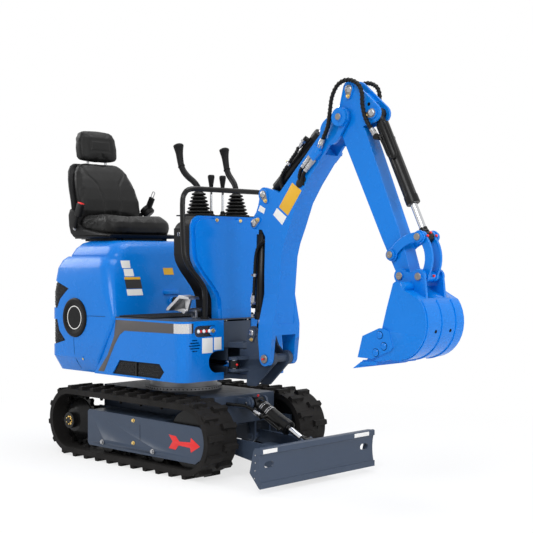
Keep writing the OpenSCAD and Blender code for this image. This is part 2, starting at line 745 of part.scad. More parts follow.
// Part of the console between a rear plane and the leaning front, set back by a depth
module console_slab(x0, depth, inset) {
    intersection() {
        translate([x0, 0, 0]) rotate([90, 0, 90]) linear_extrude(console_foot_x - x0)
            polygon(concat(console_edge(inset), flip(console_edge(inset))));
        plate(-console_top_w - 1, console_top_w + 1)
            polygon([[x0 - 1, floor_z - 1], [console_foot_x - depth, floor_z - 1],
                [console_foot_x - depth, 760], [console_head_x - depth, console_top + 1],
                [x0 - 1, console_top + 1]]);
    }
}
module console_cover() {
    color(blue) difference() {
        union() {
            console_slab(console_rear, console_bead, 0);
            console_slab(console_rear, 0, console_bead + 2);
        }
        console_slab(console_rear - 1, console_bead + wall, console_bead + 2 + wall);
        translate([0, -console_foot_w + 22, floor_z - 1])
            cube([console_foot_x - 20, 2 * console_foot_w - 44, 8]);
    }
}
deck_t = 6;
body_rear = 190;
module console_body() {
    color(black) {
        translate([body_rear, 0, 0]) rotate([90, 0, 90]) linear_extrude(console_rear - body_rear)
            polygon(concat(console_edge(24), flip(console_edge(24))));
        // Deck that carries the levers
        translate([body_rear - 8, -206, console_top]) cube([console_head_x - body_rear - 20, 412, deck_t]);
        for (s = [-1, 1]) translate([body_rear, s * 120 - 40, console_top - 40]) cube([60, 80, 40]);
    }
}

// Ribbed rubber boots of the joysticks
joy_y = 124;
boot_x = 252;
boot_z = console_top + deck_t;
boot_ribs = 6;
rib_pitch = 17;
boot_h = 8 + boot_ribs * rib_pitch;
module lever_boots() {
    color(black) for (s = [-1, 1]) translate([boot_x, s * joy_y, boot_z])
        rotate_extrude() polygon(concat([[0, 0], [66, 0]],
            [for (i = [0:boot_ribs - 1])
                each [[62 - i * 7, 8 + i * rib_pitch], [54 - i * 7, 16 + i * rib_pitch]]],
            [[20, boot_h], [0, boot_h]]));
}

// Joysticks that rise from the boots and curve back to the operator
joy_r = 10;
joy_foot_z = boot_z + boot_h;
joy_path = [[252, 124, joy_foot_z + 4], [252, 124, 1336], [240, 130, 1356], [204, 143, 1386],
    [162, 150, 1424], [142, 152, 1454]];
grip_foot = [142, 152, 1446];
module joysticks() {
    color(black) for (s = [-1, 1]) at_side(s) {
        translate([boot_x, joy_y, joy_foot_z]) cylinder(h = 12, r = joy_r + 3);
        tube(curve(joy_path, 3), joy_r, 10, [0, 1, 0.01]);
        translate(grip_foot) rotate([0, -5, 0]) rotate_extrude()
            polygon([[0, -10], [15, -10], [18, 20], [17, 60], [20, 84], [27, 98], [25, 106], [0, 109]]);
    }
}

// Two short levers between the joysticks
short_y = 38;
module short_levers() {
    color(chrome) for (s = [-1, 1]) translate([246, s * short_y, console_top + deck_t]) {
        cylinder(h = 150, r = 6);
        translate([0, 0, 140]) rotate_extrude()
            polygon([[0, 0], [9, 0], [10, 8], [16, 46], [15, 54], [11, 57], [0, 58]]);
    }
}

// Handrail round the console: an S bend on each side and a bar across
rail_r = 12.5;
rail_bend = [[352, 176, floor_z + 4], [352, 176, 840], [350, 196, 884], [344, 262, 956], [340, 288, 1004],
    [334, 292, 1060], [326, 292, 1250], [324, 276, 1304], [322, 232, 1326]];
module handrail() {
    color(black) {
        for (s = [-1, 1]) translate([352, s * 176, floor_z]) cylinder(h = 10, r = rail_r + 9);
        tube(curve(concat(rail_bend, [[322, 120, 1328], [322, -120, 1328]],
            [for (i = [len(rail_bend) - 1:-1:0]) [rail_bend[i][0], -rail_bend[i][1], rail_bend[i][2]]]),
            3), rail_r, 12, [1, 0, 0.02]);
    }
}

// Foot pedal on the floor beside the console
pedal_pivot = [245, 750];
module pedal() {
    color(chrome) {
        plate(-236, -166) polygon([[140, 750], [147, 764], [236, 826], [300, 818], [306, 806], [240, 810],
            [158, 750]]);
        plate(-206, -194) polygon([[156, 752], [240, 812], [284, 806], [262, 746], [228, 742]]);
        cross_bar(pedal_pivot, 13, -215, -console_foot_w + 24);
        translate([pedal_pivot[0] - 15, -150, floor_z]) cube([30, 14, pedal_pivot[1] - floor_z]);
    }
}

// Seat: pan with rails, cushion, back and headrest
seat_half_w = 228;
seat_front = -305;
seat_pan_z = hood_top;
cushion_z = [1122, 1212];
back_lean = 8;
module seat_base() {
    color(black) {
        for (s = [-1, 1]) translate([-600, s * 150 - 18, seat_pan_z]) cube([270, 36, 14]);
        translate([-662, -190, seat_pan_z + 14]) cube([342, 380, cushion_z[0] - seat_pan_z - 14]);
        // Carrier behind the back
        leaned_back() translate([-76.1, -150, -106]) cube([6, 300, 230]);
    }
}
// Plan of the cushion, with round front corners
function cushion_plan() = concat(arc([seat_front - 80, -seat_half_w + 80], 80, -90, 0, 6),
    arc([seat_front - 80, seat_half_w - 80], 80, 0, 90, 6), arc([-600, seat_half_w - 40], 40, 90, 180, 4),
    arc([-600, -seat_half_w + 40], 40, 180, 270, 4));
module seat_cushion() {
    color(black) intersection() {
        translate([0, 0, cushion_z[0]]) linear_extrude(cushion_z[1] - cushion_z[0]) polygon(cushion_plan());
        plate(-seat_half_w, seat_half_w)
            polygon([[-660, cushion_z[0]], [seat_front - 22, cushion_z[0]],
            [seat_front, cushion_z[0] + 24], [seat_front, cushion_z[1] - 34],
            [seat_front - 18, cushion_z[1] - 8], [seat_front - 60, cushion_z[1]],
            [-500, cushion_z[1] - 10], [-600, cushion_z[1] - 6], [-660, cushion_z[1] - 6]]);
    }
}
back_foot = [-600, 1216];
module leaned_back() {
    translate([back_foot[0], 0, back_foot[1]]) rotate([0, -back_lean, 0]) children();
}
function back_edge() = concat([[206, 0], [220, 50], [222, 110], [212, 170], [192, 222]],
    arc([112, 222], 60, 24, 90, 5));
module seat_back() {
    color(black) leaned_back() intersection() {
        translate([-70, 0, 0]) rotate([90, 0, 90]) linear_extrude(96)
            polygon(concat(back_edge(), flip(back_edge())));
        plate(-230, 230) polygon([[-70, 0], [10, 0], [22, 30], [22, 90], [8, 200], [-6, 258], [-24, 282],
            [-62, 282], [-70, 262]]);
    }
}
head_half_w = 124;
head_h = 158;
module headrest() {
    color(black) leaned_back() {
        translate([-66, 0, 296]) rotate([90, 0, 90]) linear_extrude(84)
            polygon(concat(arc([head_half_w - 30, 30], 30, -90, 0, 4),
                arc([head_half_w - 36, head_h - 40], 36, 10, 90, 4),
                arc([-head_half_w + 36, head_h - 40], 36, 90, 170, 4),
                arc([-head_half_w + 30, 30], 30, 180, 270, 4)));
        for (s = [-1, 1]) translate([-26, s * 60, 282]) cylinder(h = 15, r = 8);
    }
}
// Swing cylinder: the barrel lies in the house, the rod comes out of the oval opening
swing_len = swing_rod_eye[0] - swing_barrel_eye[0];
swing_barrel_r = 30;
swing_rod_start = 140;
swing_eye_h = 34;
module swing_barrel() {
    color(black) translate([swing_barrel_eye[0], swing_barrel_eye[1], swing_cyl_z]) difference() {
        union() {
            rotate([0, 90, 0]) cylinder(h = 330, r = swing_barrel_r);
            translate([0, 0, -26]) cylinder(h = 52, r = 28);
        }
        translate([0, 0, -swing_barrel_r - 1]) cylinder(h = 2 * swing_barrel_r + 2, r = pin_r + fit);
        translate([40, 0, 0]) rotate([0, 90, 0]) cylinder(h = 400, r = rod_r + fit);
    }
}
module swing_rod() {
    color(chrome) translate([swing_barrel_eye[0], swing_barrel_eye[1], swing_cyl_z]) {
        translate([swing_rod_start, 0, 0]) rotate([0, 90, 0])
            cylinder(h = swing_len - swing_rod_start, r = rod_r);
        translate([swing_len, 0, -swing_eye_h / 2]) cylinder(h = swing_eye_h, r = 25);
        translate([swing_len, 0, -swing_eye_h / 2 - gap])
            cylinder(h = swing_eye_h + 2 * gap, r = pin_r - 4);
    }
}

// Swing bracket: king post tube, two side plates, ears for the boom cylinder and the boom foot pin
bracket_y = [39, 51];
bracket_lug_t = 12;
bracket_lug_off = swing_eye_h / 2 + gap + 1 + bracket_lug_t / 2;
bracket_lugs = [for (z = [swing_cyl_z - bracket_lug_off, swing_cyl_z + bracket_lug_off])
    [z - bracket_lug_t / 2, z + bracket_lug_t / 2]];
module bracket_outline() {
    polygon(concat([[512, 404], [566, 406], [692, 522]], arc(boom_foot, 33, -35, 120, 8),
        [[618, 598], [598, 640]], arc(boom_rod_eye, 32, 0, 150, 8), [[506, 624], [506, 410]]));
}
module swing_bracket() {
    color(slate) {
        difference() {
            union() {
                translate([swing_x, 0, lug_low[1] + gap])
                    cylinder(h = lug_high[0] - lug_low[1] - 2 * gap, r = 40);
                // Web between the tube and the side plates
                translate([swing_x, -bracket_y[1], lug_low[1] + gap])
                    cube([62, 2 * bracket_y[1], lug_high[0] - lug_low[1] - 2 * gap]);
                plates(bracket_y[0], bracket_y[1]) bracket_outline();
                // Bosses round the boom foot pin
                for (s = [0, 1]) mirror([0, s, 0]) cross_bar(boom_foot, 33, bracket_y[0] - 1, 62);
                for (s = [0, 1]) mirror([0, s, 0]) cross_bar(boom_rod_eye, 26, bracket_y[0] + 4, 60);
                // Lugs of the swing cylinder rod
                for (z = bracket_lugs) translate([0, 0, z[0]]) linear_extrude(z[1] - z[0]) {
                    translate(swing_rod_eye) circle(26);
                    polygon([[swing_rod_eye[0] - 20, swing_rod_eye[1] - 17],
                        [swing_rod_eye[0] + 20, swing_rod_eye[1] - 17], [524, -44], [swing_x, -30]]);
                }
            }
            translate([swing_x, 0, 400]) cylinder(h = 220, r = king_pin_r + fit);
        }
        cross_bar(boom_foot, foot_pin_r, -97, 97);
    }
}

// Boom: bent box with a forked foot, ears for two cylinders and a forked tip
foot_y = [66, 92];
ear_y = [35, 48];
module boom_outline() {
    polygon([[622, 668], [627, 720], [627, 945], [632, 1100], [606, 1140], [600, 1240], [640, 1262],
        [706, 1283], [812, 1387], [1038, 1612], [1060, 1632], [1118, 1600], [1062, 1542], [1040, 1517],
        [886, 1331], [830, 1250], [784, 1140], [751, 1068], [734, 1010], [717, 824], [708, 668]]);
}
module boom() {
    color(blue) {
        difference() {
            union() {
                plate(-boom_half_w, boom_half_w) boom_outline();
                plates(ear_y[0], boom_half_w) {
                    link2d(boom_barrel_eye, 27, [650, 1180], 50);
                    link2d(arm_barrel_eye, 34, [690, 1270], 40);
                }
                // Fork legs of the foot
                plates(foot_y[0], foot_y[1]) {
                    link2d(boom_foot, 33, [666, 640], 44);
                }
                plate(-foot_y[1], foot_y[1]) polygon([[622, 632], [710, 632], [712, 700], [626, 700]]);
                for (s = [0, 1]) mirror([0, s, 0]) cross_bar(arm_pivot, 40, arm_half_w + gap + 1, 72);
                plates(arm_half_w + gap + 1, boom_half_w) link2d(arm_pivot, 44, [1030, 1555], 60);
            }
            cross_bar(boom_foot, foot_pin_r + fit, -120, 120);
            // Fork of the tip, where the arm's nose turns
            cross_bar(arm_pivot, 186, -arm_half_w - gap, arm_half_w + gap);
            // Arched room over the bracket in the foot
            cross_bar([666, 560], 100, -foot_y[0], foot_y[0]);
            // Slots for the cylinder eyes
            plate(-ear_y[0], ear_y[0]) {
                link2d(boom_barrel_eye, 40, toward(boom_barrel_eye, boom_rod_eye, 160), 38);
                link2d(arm_barrel_eye, 42, toward(arm_barrel_eye, arm_rod_eye, 160), 38);
            }
        }
        cross_bar(boom_barrel_eye, pin_r, -boom_half_w - 8, boom_half_w + 8);
        cross_bar(arm_barrel_eye, pin_r, -boom_half_w - 8, boom_half_w + 8);
        // Hose couplers on the boom's sides
        on_both_sides() {
            plate(boom_half_w, hose_y + 10) translate([968, 1470]) square([34, 26], center = true);
            bar3(toward(hose_from, hose_lead, -hose_gap), hose_from - hose_lead, 70, hose_r + 3);
        }
        cross_bar(arm_pivot, pin_r + 2, -76, 76);
    }
}

eye_w = 21;
neck = 50;
boom_port = [388, -10, -40];
module boom_barrel() {
    color(black) {
        barrel(boom_barrel_eye, boom_rod_eye, neck, 448, barrel_r, 26, eye_w);
        port_fitting(boom_barrel_eye, boom_rod_eye, boom_port[0], boom_port[1], boom_port[2]);
    }
}
module boom_rod() {
    color(chrome) rod(boom_barrel_eye, boom_rod_eye, 120, 26, eye_w);
}

// Arm: tapered box with two nose plates
nose_y = [26, arm_half_w];
module arm() {
    color(blue) {
        difference() {
            union() {
                plate(-arm_half_w, arm_half_w)
                    polygon(concat([[1104, 1487], [1306, 1078]], arc(bucket_pivot, 33, 205, 370, 10),
                        [[1412, 1070], [1403, 1094], [1215, 1544], [1190, 1572], [1070, 1560]]));
                plates(nose_y[0], nose_y[1])
                    polygon(concat(arc(arm_rod_eye, 40, 150, 50, 6),
                        arc(bucket_barrel_eye, 40, 50, -80, 6),
                        [[1181, 1560], [1104, 1500], [1060, 1560], [1062, 1640]]));
                // Web between the nose plates
                plate(-nose_y[0] - 1, nose_y[0] + 1)
                    polygon([toward(arm_rod_eye, bucket_barrel_eye, 52) + [18, 20],
                    toward(bucket_barrel_eye, arm_rod_eye, 54) + [18, 20],
                    toward(bucket_barrel_eye, arm_rod_eye, 54) + [11, 12],
                    toward(arm_rod_eye, bucket_barrel_eye, 52) + [11, 12]]);
                cross_bar(arm_pivot, 34, -arm_half_w, arm_half_w);
            }
            cross_bar(arm_pivot, pin_r + 2 + fit, -100, 100);
        }
        cross_bar(bucket_barrel_eye, pin_r, -48, 48);
        cross_bar(rocker_pivot, pin_r, -arm_half_w - 20, arm_half_w + 20);
        cross_bar(bucket_pivot, pin_r, -arm_half_w - 37, arm_half_w + 37);
    }
}
arm_port = [340, 29, -27];
module arm_barrel() {
    color(black) {
        barrel(arm_barrel_eye, arm_rod_eye, neck, 400, barrel_r, 26, eye_w);
        port_fitting(arm_barrel_eye, arm_rod_eye, arm_port[0], arm_port[1], arm_port[2]);
    }
}
module arm_rod() {
    color(chrome) rod(arm_barrel_eye, arm_rod_eye, 260, 26, eye_w);
}
module bucket_barrel() {
    color(black) {
        barrel(bucket_barrel_eye, link_top, neck, 430, barrel_r, 26, eye_w);
        // Ports that take the hoses
        on_both_sides() {
            cross_bar(port, 13, 18, hose_to[1] + 10);
            bar3(toward(hose_to, port_end, hose_gap), port_end - hose_to, 40, hose_r + 2);
        }
        // Right pipe turns back to the head end, left pipe runs on to the gland
        tube(curve([for (p = u_pipe) beside(bucket_barrel_eye, link_top, p[0], p[1], p[2])], 3), pipe_r,
            8, [0.3, 1, 0.1]);
        barrel_pipe(bucket_barrel_eye, link_top, 110, 404, -8, 33);
    }
}
// Turned back pipe of the bucket cylinder: length along the barrel, height beside its line, and y
u_pipe = [[112, -10, -40], [150, -7, -38], [190, -6, -38], [208, -3, -38], [220, 6, -36], [222, 16, -32],
    [214, 24, -28], [196, 27, -25], [150, 28, -24], [100, 28, -24], [68, 28, -24], [58, 24, -20],
    [55, 14, -12]];
module bucket_rod() {
    color(chrome) rod(bucket_barrel_eye, link_top, 250, 24, 19);
}

// Rocker plates on both sides of the arm, and the bucket's link between them, both bowed
rocker_y = [arm_half_w + 4, arm_half_w + 14];
link_y = [23, 36];
rocker_bow = 20;
link_bow = 30;
// Points along an arc from p to q that bows to the left of its line, moved outwards by off
function bow(p, q, sag, off, n) =
    let (l = span(p, q), a = heading(p, q), r = (l * l / 4 + sag * sag) / (2 * sag), h = asin(l / 2 / r))
    [for (i = [0:n]) let (t = -h + 2 * h * i / n, u = l / 2 + (r + off) * sin(t),
        v = sag - r + (r + off) * cos(t))
        [p[0] + u * cos(a) - v * sin(a), p[1] + u * sin(a) + v * cos(a)]];
function reversed(list) = [for (i = [len(list) - 1:-1:0]) list[i]];
module bowed(p, q, sag, half_w, end_r) {
    polygon(concat(bow(p, q, sag, half_w, 10), reversed(bow(p, q, sag, -half_w, 10))));
    translate(p) circle(end_r);
    translate(q) circle(end_r);
}
module rocker() {
    color(blue) plates(rocker_y[0], rocker_y[1]) difference() {
        bowed(rocker_pivot, link_top, rocker_bow, 20, 27);
        translate(rocker_pivot) circle(pin_r + fit);
    }
}
module bucket_link() {
    color(blue) difference() {
        union() {
            plates(link_y[0], link_y[1]) bowed(link_top, link_foot, link_bow, 18, 24);
            cross_bar(link_foot, 21, -link_y[1], link_y[1]);
        }
        cross_bar(link_foot, pin_r + fit, -60, 60);
    }
}

// Bucket: curved shell with ears, side cutters, a cutting edge and teeth
bucket_c = [1446, 742];
bucket_r = 155;
bucket_t = 9;
lip = [1290, 566];
ears_y = [arm_half_w + 18, arm_half_w + 31];
module bucket_profile(t) {
    polygon(concat([[lip[0], lip[1] + t]], arc(bucket_c, bucket_r - t, -98, 36, 14),
        [[1484 - t / 2, 878 - t], [1468, 902 - 2 * t], [1450, 909 - 3 * t], [1436, 900 - 2 * t],
        [1404, 800], [1380, 716], [1340, 640]]));
}
module bucket_mouth() {
    polygon([[1260, 500 + 75], [lip[0], lip[1] + bucket_t], [1440, 900 - bucket_t], [1400, 930],
        [1240, 700]]);
}
tooth_tip = [1250, 548];
module bucket() {
    color(blue) {
        difference() {
            union() {
                difference() {
                    plate(-bucket_half_w, bucket_half_w) bucket_profile(0);
                    plate(-bucket_half_w + bucket_t, bucket_half_w - bucket_t) {
                        bucket_profile(bucket_t);
                        bucket_mouth();
                        // The shell ends behind the arm's boss
                        polygon([[1390, 930], [1390, 780], [1466, 862], [1478, 890], [1478, 930]]);
                    }
                }
                plates(ears_y[0], ears_y[1]) {
                    translate(bucket_pivot) circle(30);
                    translate(link_foot) circle(30);
                    polygon([[1398, 912], [1446, 947], [1468, 944], [1494, 947], [1547, 920], [1556, 838],
                        [1500, 862], [1440, 890]]);
                }
                // Tube across the ears and the side plates
                on_both_sides() cross_bar([1478, 888], 19, ears_y[0], bucket_half_w - 1);
                // Side cutters
                plates(bucket_half_w, bucket_half_w + 10)
                    polygon([[1258, 590], [1284, 680], [1372, 716], [1392, 716], [1424, 704], [1442, 642],
                        [1432, 628], [1336, 588]]);
                // Cutting edge with flat teeth
                plate(-bucket_half_w - 6, bucket_half_w + 6)
                    polygon([[lip[0] - 26, lip[1] - 8], [lip[0] + 60, lip[1] - 2],
                        [lip[0] + 60, lip[1] + 12], [lip[0] - 20, lip[1] + 6]]);
                for (y = [-104, 0, 104]) plate(y - 28, y + 28)
                    polygon([tooth_tip, [lip[0] + 20, lip[1] - 10], [lip[0] + 20, lip[1] + 16],
                        [lip[0] - 10, lip[1] + 14]]);
            }
            cross_bar(bucket_pivot, pin_r + fit, -100, 100);
        }
        cross_bar(link_foot, pin_r, -ears_y[1] - 6, ears_y[1] + 6);
    }
}

// Hoses that loop over the arm's pivot, from the boom's side to the bucket cylinder
module hose(side) {
    color(black) at_side(side)
        tube(concat([hose_from], curve(concat([hose_lead], hose_loop), 2), [hose_to]), hose_r, 8,
            [0, 1, 0.01]);
}

// Hoses of the boom, arm and blade cylinders, each up to its port's fitting
module cylinder_hose(points, p, q, port, up) {
    end = beside(p, q, port[0] - fitting_l - hose_gap, port[1], port[2]);
    lead = beside(p, q, port[0] - fitting_l - 14, port[1], port[2]);
    free = [for (i = [1:len(points) - 1]) points[i]];
    color(black)
        tube(concat([points[0]], curve(concat(free, [lead]), 2), [end]), line_r, 8, up);
}
module boom_hose() {
    cylinder_hose(boom_line, boom_barrel_eye, boom_rod_eye, boom_port, [0, 1, 0.01]);
}
module arm_hose() {
    cylinder_hose(arm_line, arm_barrel_eye, arm_rod_eye, arm_port, [0, 1, 0.01]);
}
module blade_hose() {
    cylinder_hose(blade_line, blade_barrel_eye, blade_rod_eye, blade_port, [0, 0.01, 1]);
}

chassis();
slew_ring();
on_both_sides() track_frame();  // track_frames
track(-1);  // track_right
track(1);  // track_left
on_both_sides() sprocket();  // sprockets
on_both_sides() idler();  // idlers
on_both_sides() rollers();
blade();
blade_frame();
blade_barrel();
blade_rod();
turntable();
hood();
skirt_right();
skirt_left();
floor_plate();
floor_mat();
engine();
grilles();
tail_discs();
front_lamps();
console_cover();
console_body();
lever_boots();
joysticks();
short_levers();
pedal();
handrail();
seat_base();
seat_cushion();
seat_back();
headrest();
swing_barrel();
swing_rod();
swing_bracket();
boom();
boom_barrel();
boom_rod();
arm();
arm_barrel();
arm_rod();
bucket_barrel();
bucket_rod();
rocker();
bucket_link();
bucket();
hose(-1);  // hose_right
hose(1);  // hose_left
boom_hose();
arm_hose();
blade_hose();
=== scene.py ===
import json
import math
import bpy
import bmesh
from mathutils import Matrix, Vector
from mathutils.bvhtree import BVHTree


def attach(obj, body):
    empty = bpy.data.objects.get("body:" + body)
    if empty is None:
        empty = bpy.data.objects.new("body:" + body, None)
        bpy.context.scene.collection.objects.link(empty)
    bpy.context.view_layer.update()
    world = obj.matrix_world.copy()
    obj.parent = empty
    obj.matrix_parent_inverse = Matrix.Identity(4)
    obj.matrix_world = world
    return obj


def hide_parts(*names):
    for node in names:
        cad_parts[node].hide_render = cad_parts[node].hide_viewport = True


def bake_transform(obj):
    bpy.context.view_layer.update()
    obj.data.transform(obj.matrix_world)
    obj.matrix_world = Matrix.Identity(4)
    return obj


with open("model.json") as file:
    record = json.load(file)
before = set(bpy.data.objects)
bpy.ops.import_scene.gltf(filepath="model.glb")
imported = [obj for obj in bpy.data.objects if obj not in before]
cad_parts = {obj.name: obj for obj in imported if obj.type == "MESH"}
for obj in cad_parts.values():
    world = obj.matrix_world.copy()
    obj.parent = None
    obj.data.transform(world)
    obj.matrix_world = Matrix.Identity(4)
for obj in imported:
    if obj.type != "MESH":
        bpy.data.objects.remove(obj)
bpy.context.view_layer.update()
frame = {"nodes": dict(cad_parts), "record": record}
print("frame loaded")

scene = bpy.context.scene
scene.view_settings.view_transform = "Standard"

# camera, solved from the photo's edges
view = {"place": (4.2456, -3.7029, 1.0071), "azimuth": 44.66, "elevation": 0.49, "lens": 75.3}
cameraData = bpy.data.cameras.new("camera")
cameraData.lens = view["lens"]
cameraData.sensor_width = 36
camera = bpy.data.objects.new("camera", cameraData)
camera.location = view["place"]
camera.rotation_euler = (math.radians(90 - view["elevation"]), 0, math.radians(view["azimuth"]))
scene.collection.objects.link(camera)
scene.camera = camera


# node helpers
def newMaterial(name):
    material = bpy.data.materials.new(name)
    material.use_nodes = True
    tree = material.node_tree
    shader = tree.nodes["Principled BSDF"]
    coords = tree.nodes.new("ShaderNodeTexCoord")
    return material, tree, shader, coords.outputs["Object"]


def addNoise(tree, source, scale, detail=3.0):
    noise = tree.nodes.new("ShaderNodeTexNoise")
    noise.inputs["Scale"].default_value = scale
    noise.inputs["Detail"].default_value = detail
    tree.links.new(source, noise.inputs["Vector"])
    return noise.outputs["Fac"]


def addRange(tree, value, low, high, fromLow=0.3, fromHigh=0.7):
    node = tree.nodes.new("ShaderNodeMapRange")
    node.inputs["From Min"].default_value = fromLow
    node.inputs["From Max"].default_value = fromHigh
    node.inputs["To Min"].default_value = low
    node.inputs["To Max"].default_value = high
    tree.links.new(value, node.inputs["Value"])
    return node.outputs["Result"]


def addRamp(tree, value, stops):
    node = tree.nodes.new("ShaderNodeValToRGB")
    while len(node.color_ramp.elements) < len(stops):
        node.color_ramp.elements.new(0.5)
    for element, (place, colour) in zip(node.color_ramp.elements, stops):
        element.position = place
        element.color = (*colour, 1)
    tree.links.new(value, node.inputs["Fac"])
    return node.outputs["Color"]


def addBump(tree, shader, height, strength, distance):
    node = tree.nodes.new("ShaderNodeBump")
    node.inputs["Strength"].default_value = strength
    node.inputs["Distance"].default_value = distance
    tree.links.new(height, node.inputs["Height"])
    tree.links.new(node.outputs["Normal"], shader.inputs["Normal"])


def scaled(colour, factor):
    return tuple(min(1.0, c * factor) for c in colour)


# one finish: clouded colour, smeared roughness and a fine grain
def surface(name, colour, rough, metallic=0.0, coat=0.0, specular=0.5, grain=400, bump=0.05, depth=0.0004,
            vary=0.06, patch=3.0):
    material, tree, shader, where = newMaterial(name)
    shader.inputs["Metallic"].default_value = metallic
    shader.inputs["Specular IOR Level"].default_value = specular
    shader.inputs["Coat Weight"].default_value = coat
    shader.inputs["Coat Roughness"].default_value = 0.08
    cloud = addNoise(tree, where, patch, 5)
    tint = addRamp(tree, cloud, [(0.3, scaled(colour, 1 - vary)), (0.7, scaled(colour, 1 + vary))])
    tree.links.new(tint, shader.inputs["Base Color"])
    smear = addNoise(tree, where, 22, 4)
    tree.links.new(addRange(tree, smear, rough[0], rough[1]), shader.inputs["Roughness"])
    addBump(tree, shader, addNoise(tree, where, grain, 2), bump, depth)
    return material


# leather: cells of a grain, finer pores and a soft sheen
def leatherSurface(name, colour):
    material, tree, shader, where = newMaterial(name)
    shader.inputs["Specular IOR Level"].default_value = 0.2
    cells = tree.nodes.new("ShaderNodeTexVoronoi")
    cells.inputs["Scale"].default_value = 330
    tree.links.new(where, cells.inputs["Vector"])
    cloud = addNoise(tree, where, 7, 4)
    tint = addRamp(tree, cloud, [(0.3, scaled(colour, 0.8)), (0.7, scaled(colour, 1.25))])
    tree.links.new(tint, shader.inputs["Base Color"])
    tree.links.new(addRange(tree, addNoise(tree, where, 40, 3), 0.38, 0.52), shader.inputs["Roughness"])
    addBump(tree, shader, cells.outputs["Distance"], 0.18, 0.0007)
    return material


bluePaint = surface("bluePaint", (0.001, 0.178, 0.64), (0.2, 0.3), coat=0.1, specular=0.22, grain=260,
                    bump=0.03, vary=0.035)
slatePaint = surface("slatePaint", (0.043, 0.061, 0.096), (0.38, 0.5), coat=0.05, specular=0.25, grain=320,
                     bump=0.06, vary=0.07)
blackPaint = surface("blackPaint", (0.006, 0.006, 0.006), (0.26, 0.38), coat=0.08, specular=0.16, grain=300,
                     vary=0.1)
blackPlastic = surface("blackPlastic", (0.006, 0.006, 0.0065), (0.4, 0.52), specular=0.14, grain=900,
                       bump=0.2, depth=0.0003, vary=0.1)
trackRubber = surface("trackRubber", (0.013, 0.012, 0.0115), (0.62, 0.8), specular=0.14, grain=170, bump=0.25,
                      depth=0.0008, vary=0.25, patch=9)
bootRubber = surface("bootRubber", (0.006, 0.006, 0.006), (0.42, 0.56), specular=0.18, grain=500, bump=0.12,
                     vary=0.15)
matRubber = surface("matRubber", (0.007, 0.007, 0.007), (0.5, 0.65), specular=0.15, grain=450, bump=0.15,
                    vary=0.2)
chromeRod = surface("chromeRod", (0.56, 0.57, 0.59), (0.06, 0.13), metallic=1.0, grain=700, bump=0.01,
                    vary=0.02)
brightSteel = surface("brightSteel", (0.40, 0.40, 0.41), (0.18, 0.32), metallic=1.0, grain=420, bump=0.06,
                      vary=0.05)
castAluminium = surface("castAluminium", (0.56, 0.56, 0.57), (0.34, 0.5), metallic=1.0, grain=240, bump=0.2,
                        depth=0.0006, vary=0.1, patch=30)
goldZinc = surface("goldZinc", (0.80, 0.58, 0.22), (0.26, 0.4), metallic=1.0, grain=420, bump=0.05, vary=0.1)
redCap = surface("redCap", (0.72, 0.010, 0.010), (0.35, 0.45), grain=300, bump=0.04, vary=0.05)
plateWhite = surface("plateWhite", (0.80, 0.79, 0.76), (0.35, 0.45), specular=0.3, grain=200, bump=0.02,
                     vary=0.02)
plateYellow = surface("plateYellow", (0.72, 0.40, 0.03), (0.35, 0.45), specular=0.3, grain=200, bump=0.02,
                      vary=0.04)
plateDark = surface("plateDark", (0.03, 0.03, 0.03), (0.35, 0.45), specular=0.3, grain=200, bump=0.02,
                    vary=0.05)
stripeGrey = surface("stripeGrey", (0.078, 0.071, 0.070), (0.3, 0.4), specular=0.4, grain=300, bump=0.03,
                     vary=0.06)
# light silver for the stripe's band on the rounded front corner: a painted highlight
stripeSilver = surface("stripeSilver", (0.62, 0.61, 0.60), (0.22, 0.32), metallic=0.6, grain=500, bump=0.03,
                       vary=0.03)
pinSteel = surface("pinSteel", (0.27, 0.25, 0.235), (0.34, 0.5), metallic=0.9, grain=420, bump=0.08, vary=0.1)
ringSteel = surface("ringSteel", (0.26, 0.265, 0.28), (0.3, 0.44), metallic=0.9, grain=300, bump=0.08,
                    vary=0.1)
lampSteel = surface("lampSteel", (0.16, 0.16, 0.17), (0.22, 0.34), metallic=1.0, grain=420, bump=0.05,
                    vary=0.1)
grilleBlack = surface("grilleBlack", (0.016, 0.016, 0.017), (0.2, 0.3), coat=0.3, specular=0.5, grain=300,
                      vary=0.15)
# near-black: the panel seams' own dark, and painted shade inside holes and grooves
darkHole = surface("darkHole", (0.003, 0.003, 0.003), (0.7, 0.8), specular=0.1, grain=300, bump=0.02,
                   vary=0.1)
stitchThread = surface("stitchThread", (0.03, 0.03, 0.03), (0.6, 0.75), specular=0.2, grain=1500, bump=0.3,
                       vary=0.2)
seatLeather = leatherSurface("seatLeather", (0.007, 0.007, 0.007))
lampGlass = surface("lampGlass", (0.86, 0.88, 0.9), (0.05, 0.1), coat=0.6, grain=150, bump=0.05, vary=0.04)
print("materials made")

# studio: pale floor that keeps a soft shadow, white surround, four soft lamps
studio = {"ambient": 0.5, "white": 1.0, "floorSize": 60, "shadow": 0.3, "shadowFrom": 1.3, "shadowTo": 2.6}
world = bpy.data.worlds.new("studio")
scene.world = world
world.use_nodes = True
worldTree = world.node_tree
worldTree.nodes.clear()
worldOut = worldTree.nodes.new("ShaderNodeOutputWorld")
worldMix = worldTree.nodes.new("ShaderNodeMixShader")
soft = worldTree.nodes.new("ShaderNodeBackground")
soft.inputs["Strength"].default_value = studio["ambient"]
soft.inputs["Color"].default_value = (0.95, 0.97, 1.0, 1)
plain = worldTree.nodes.new("ShaderNodeBackground")
plain.inputs["Strength"].default_value = studio["white"]
plain.inputs["Color"].default_value = (1, 1, 1, 1)


def seenPlain(tree):
    path = tree.nodes.new("ShaderNodeLightPath")
    seen = path.outputs["Is Camera Ray"]
    for kind in ("Is Glossy Ray", "Is Transmission Ray"):
        larger = tree.nodes.new("ShaderNodeMath")
        larger.operation = "MAXIMUM"
        tree.links.new(seen, larger.inputs[0])
        tree.links.new(path.outputs[kind], larger.inputs[1])
        seen = larger.outputs[0]
    return seen


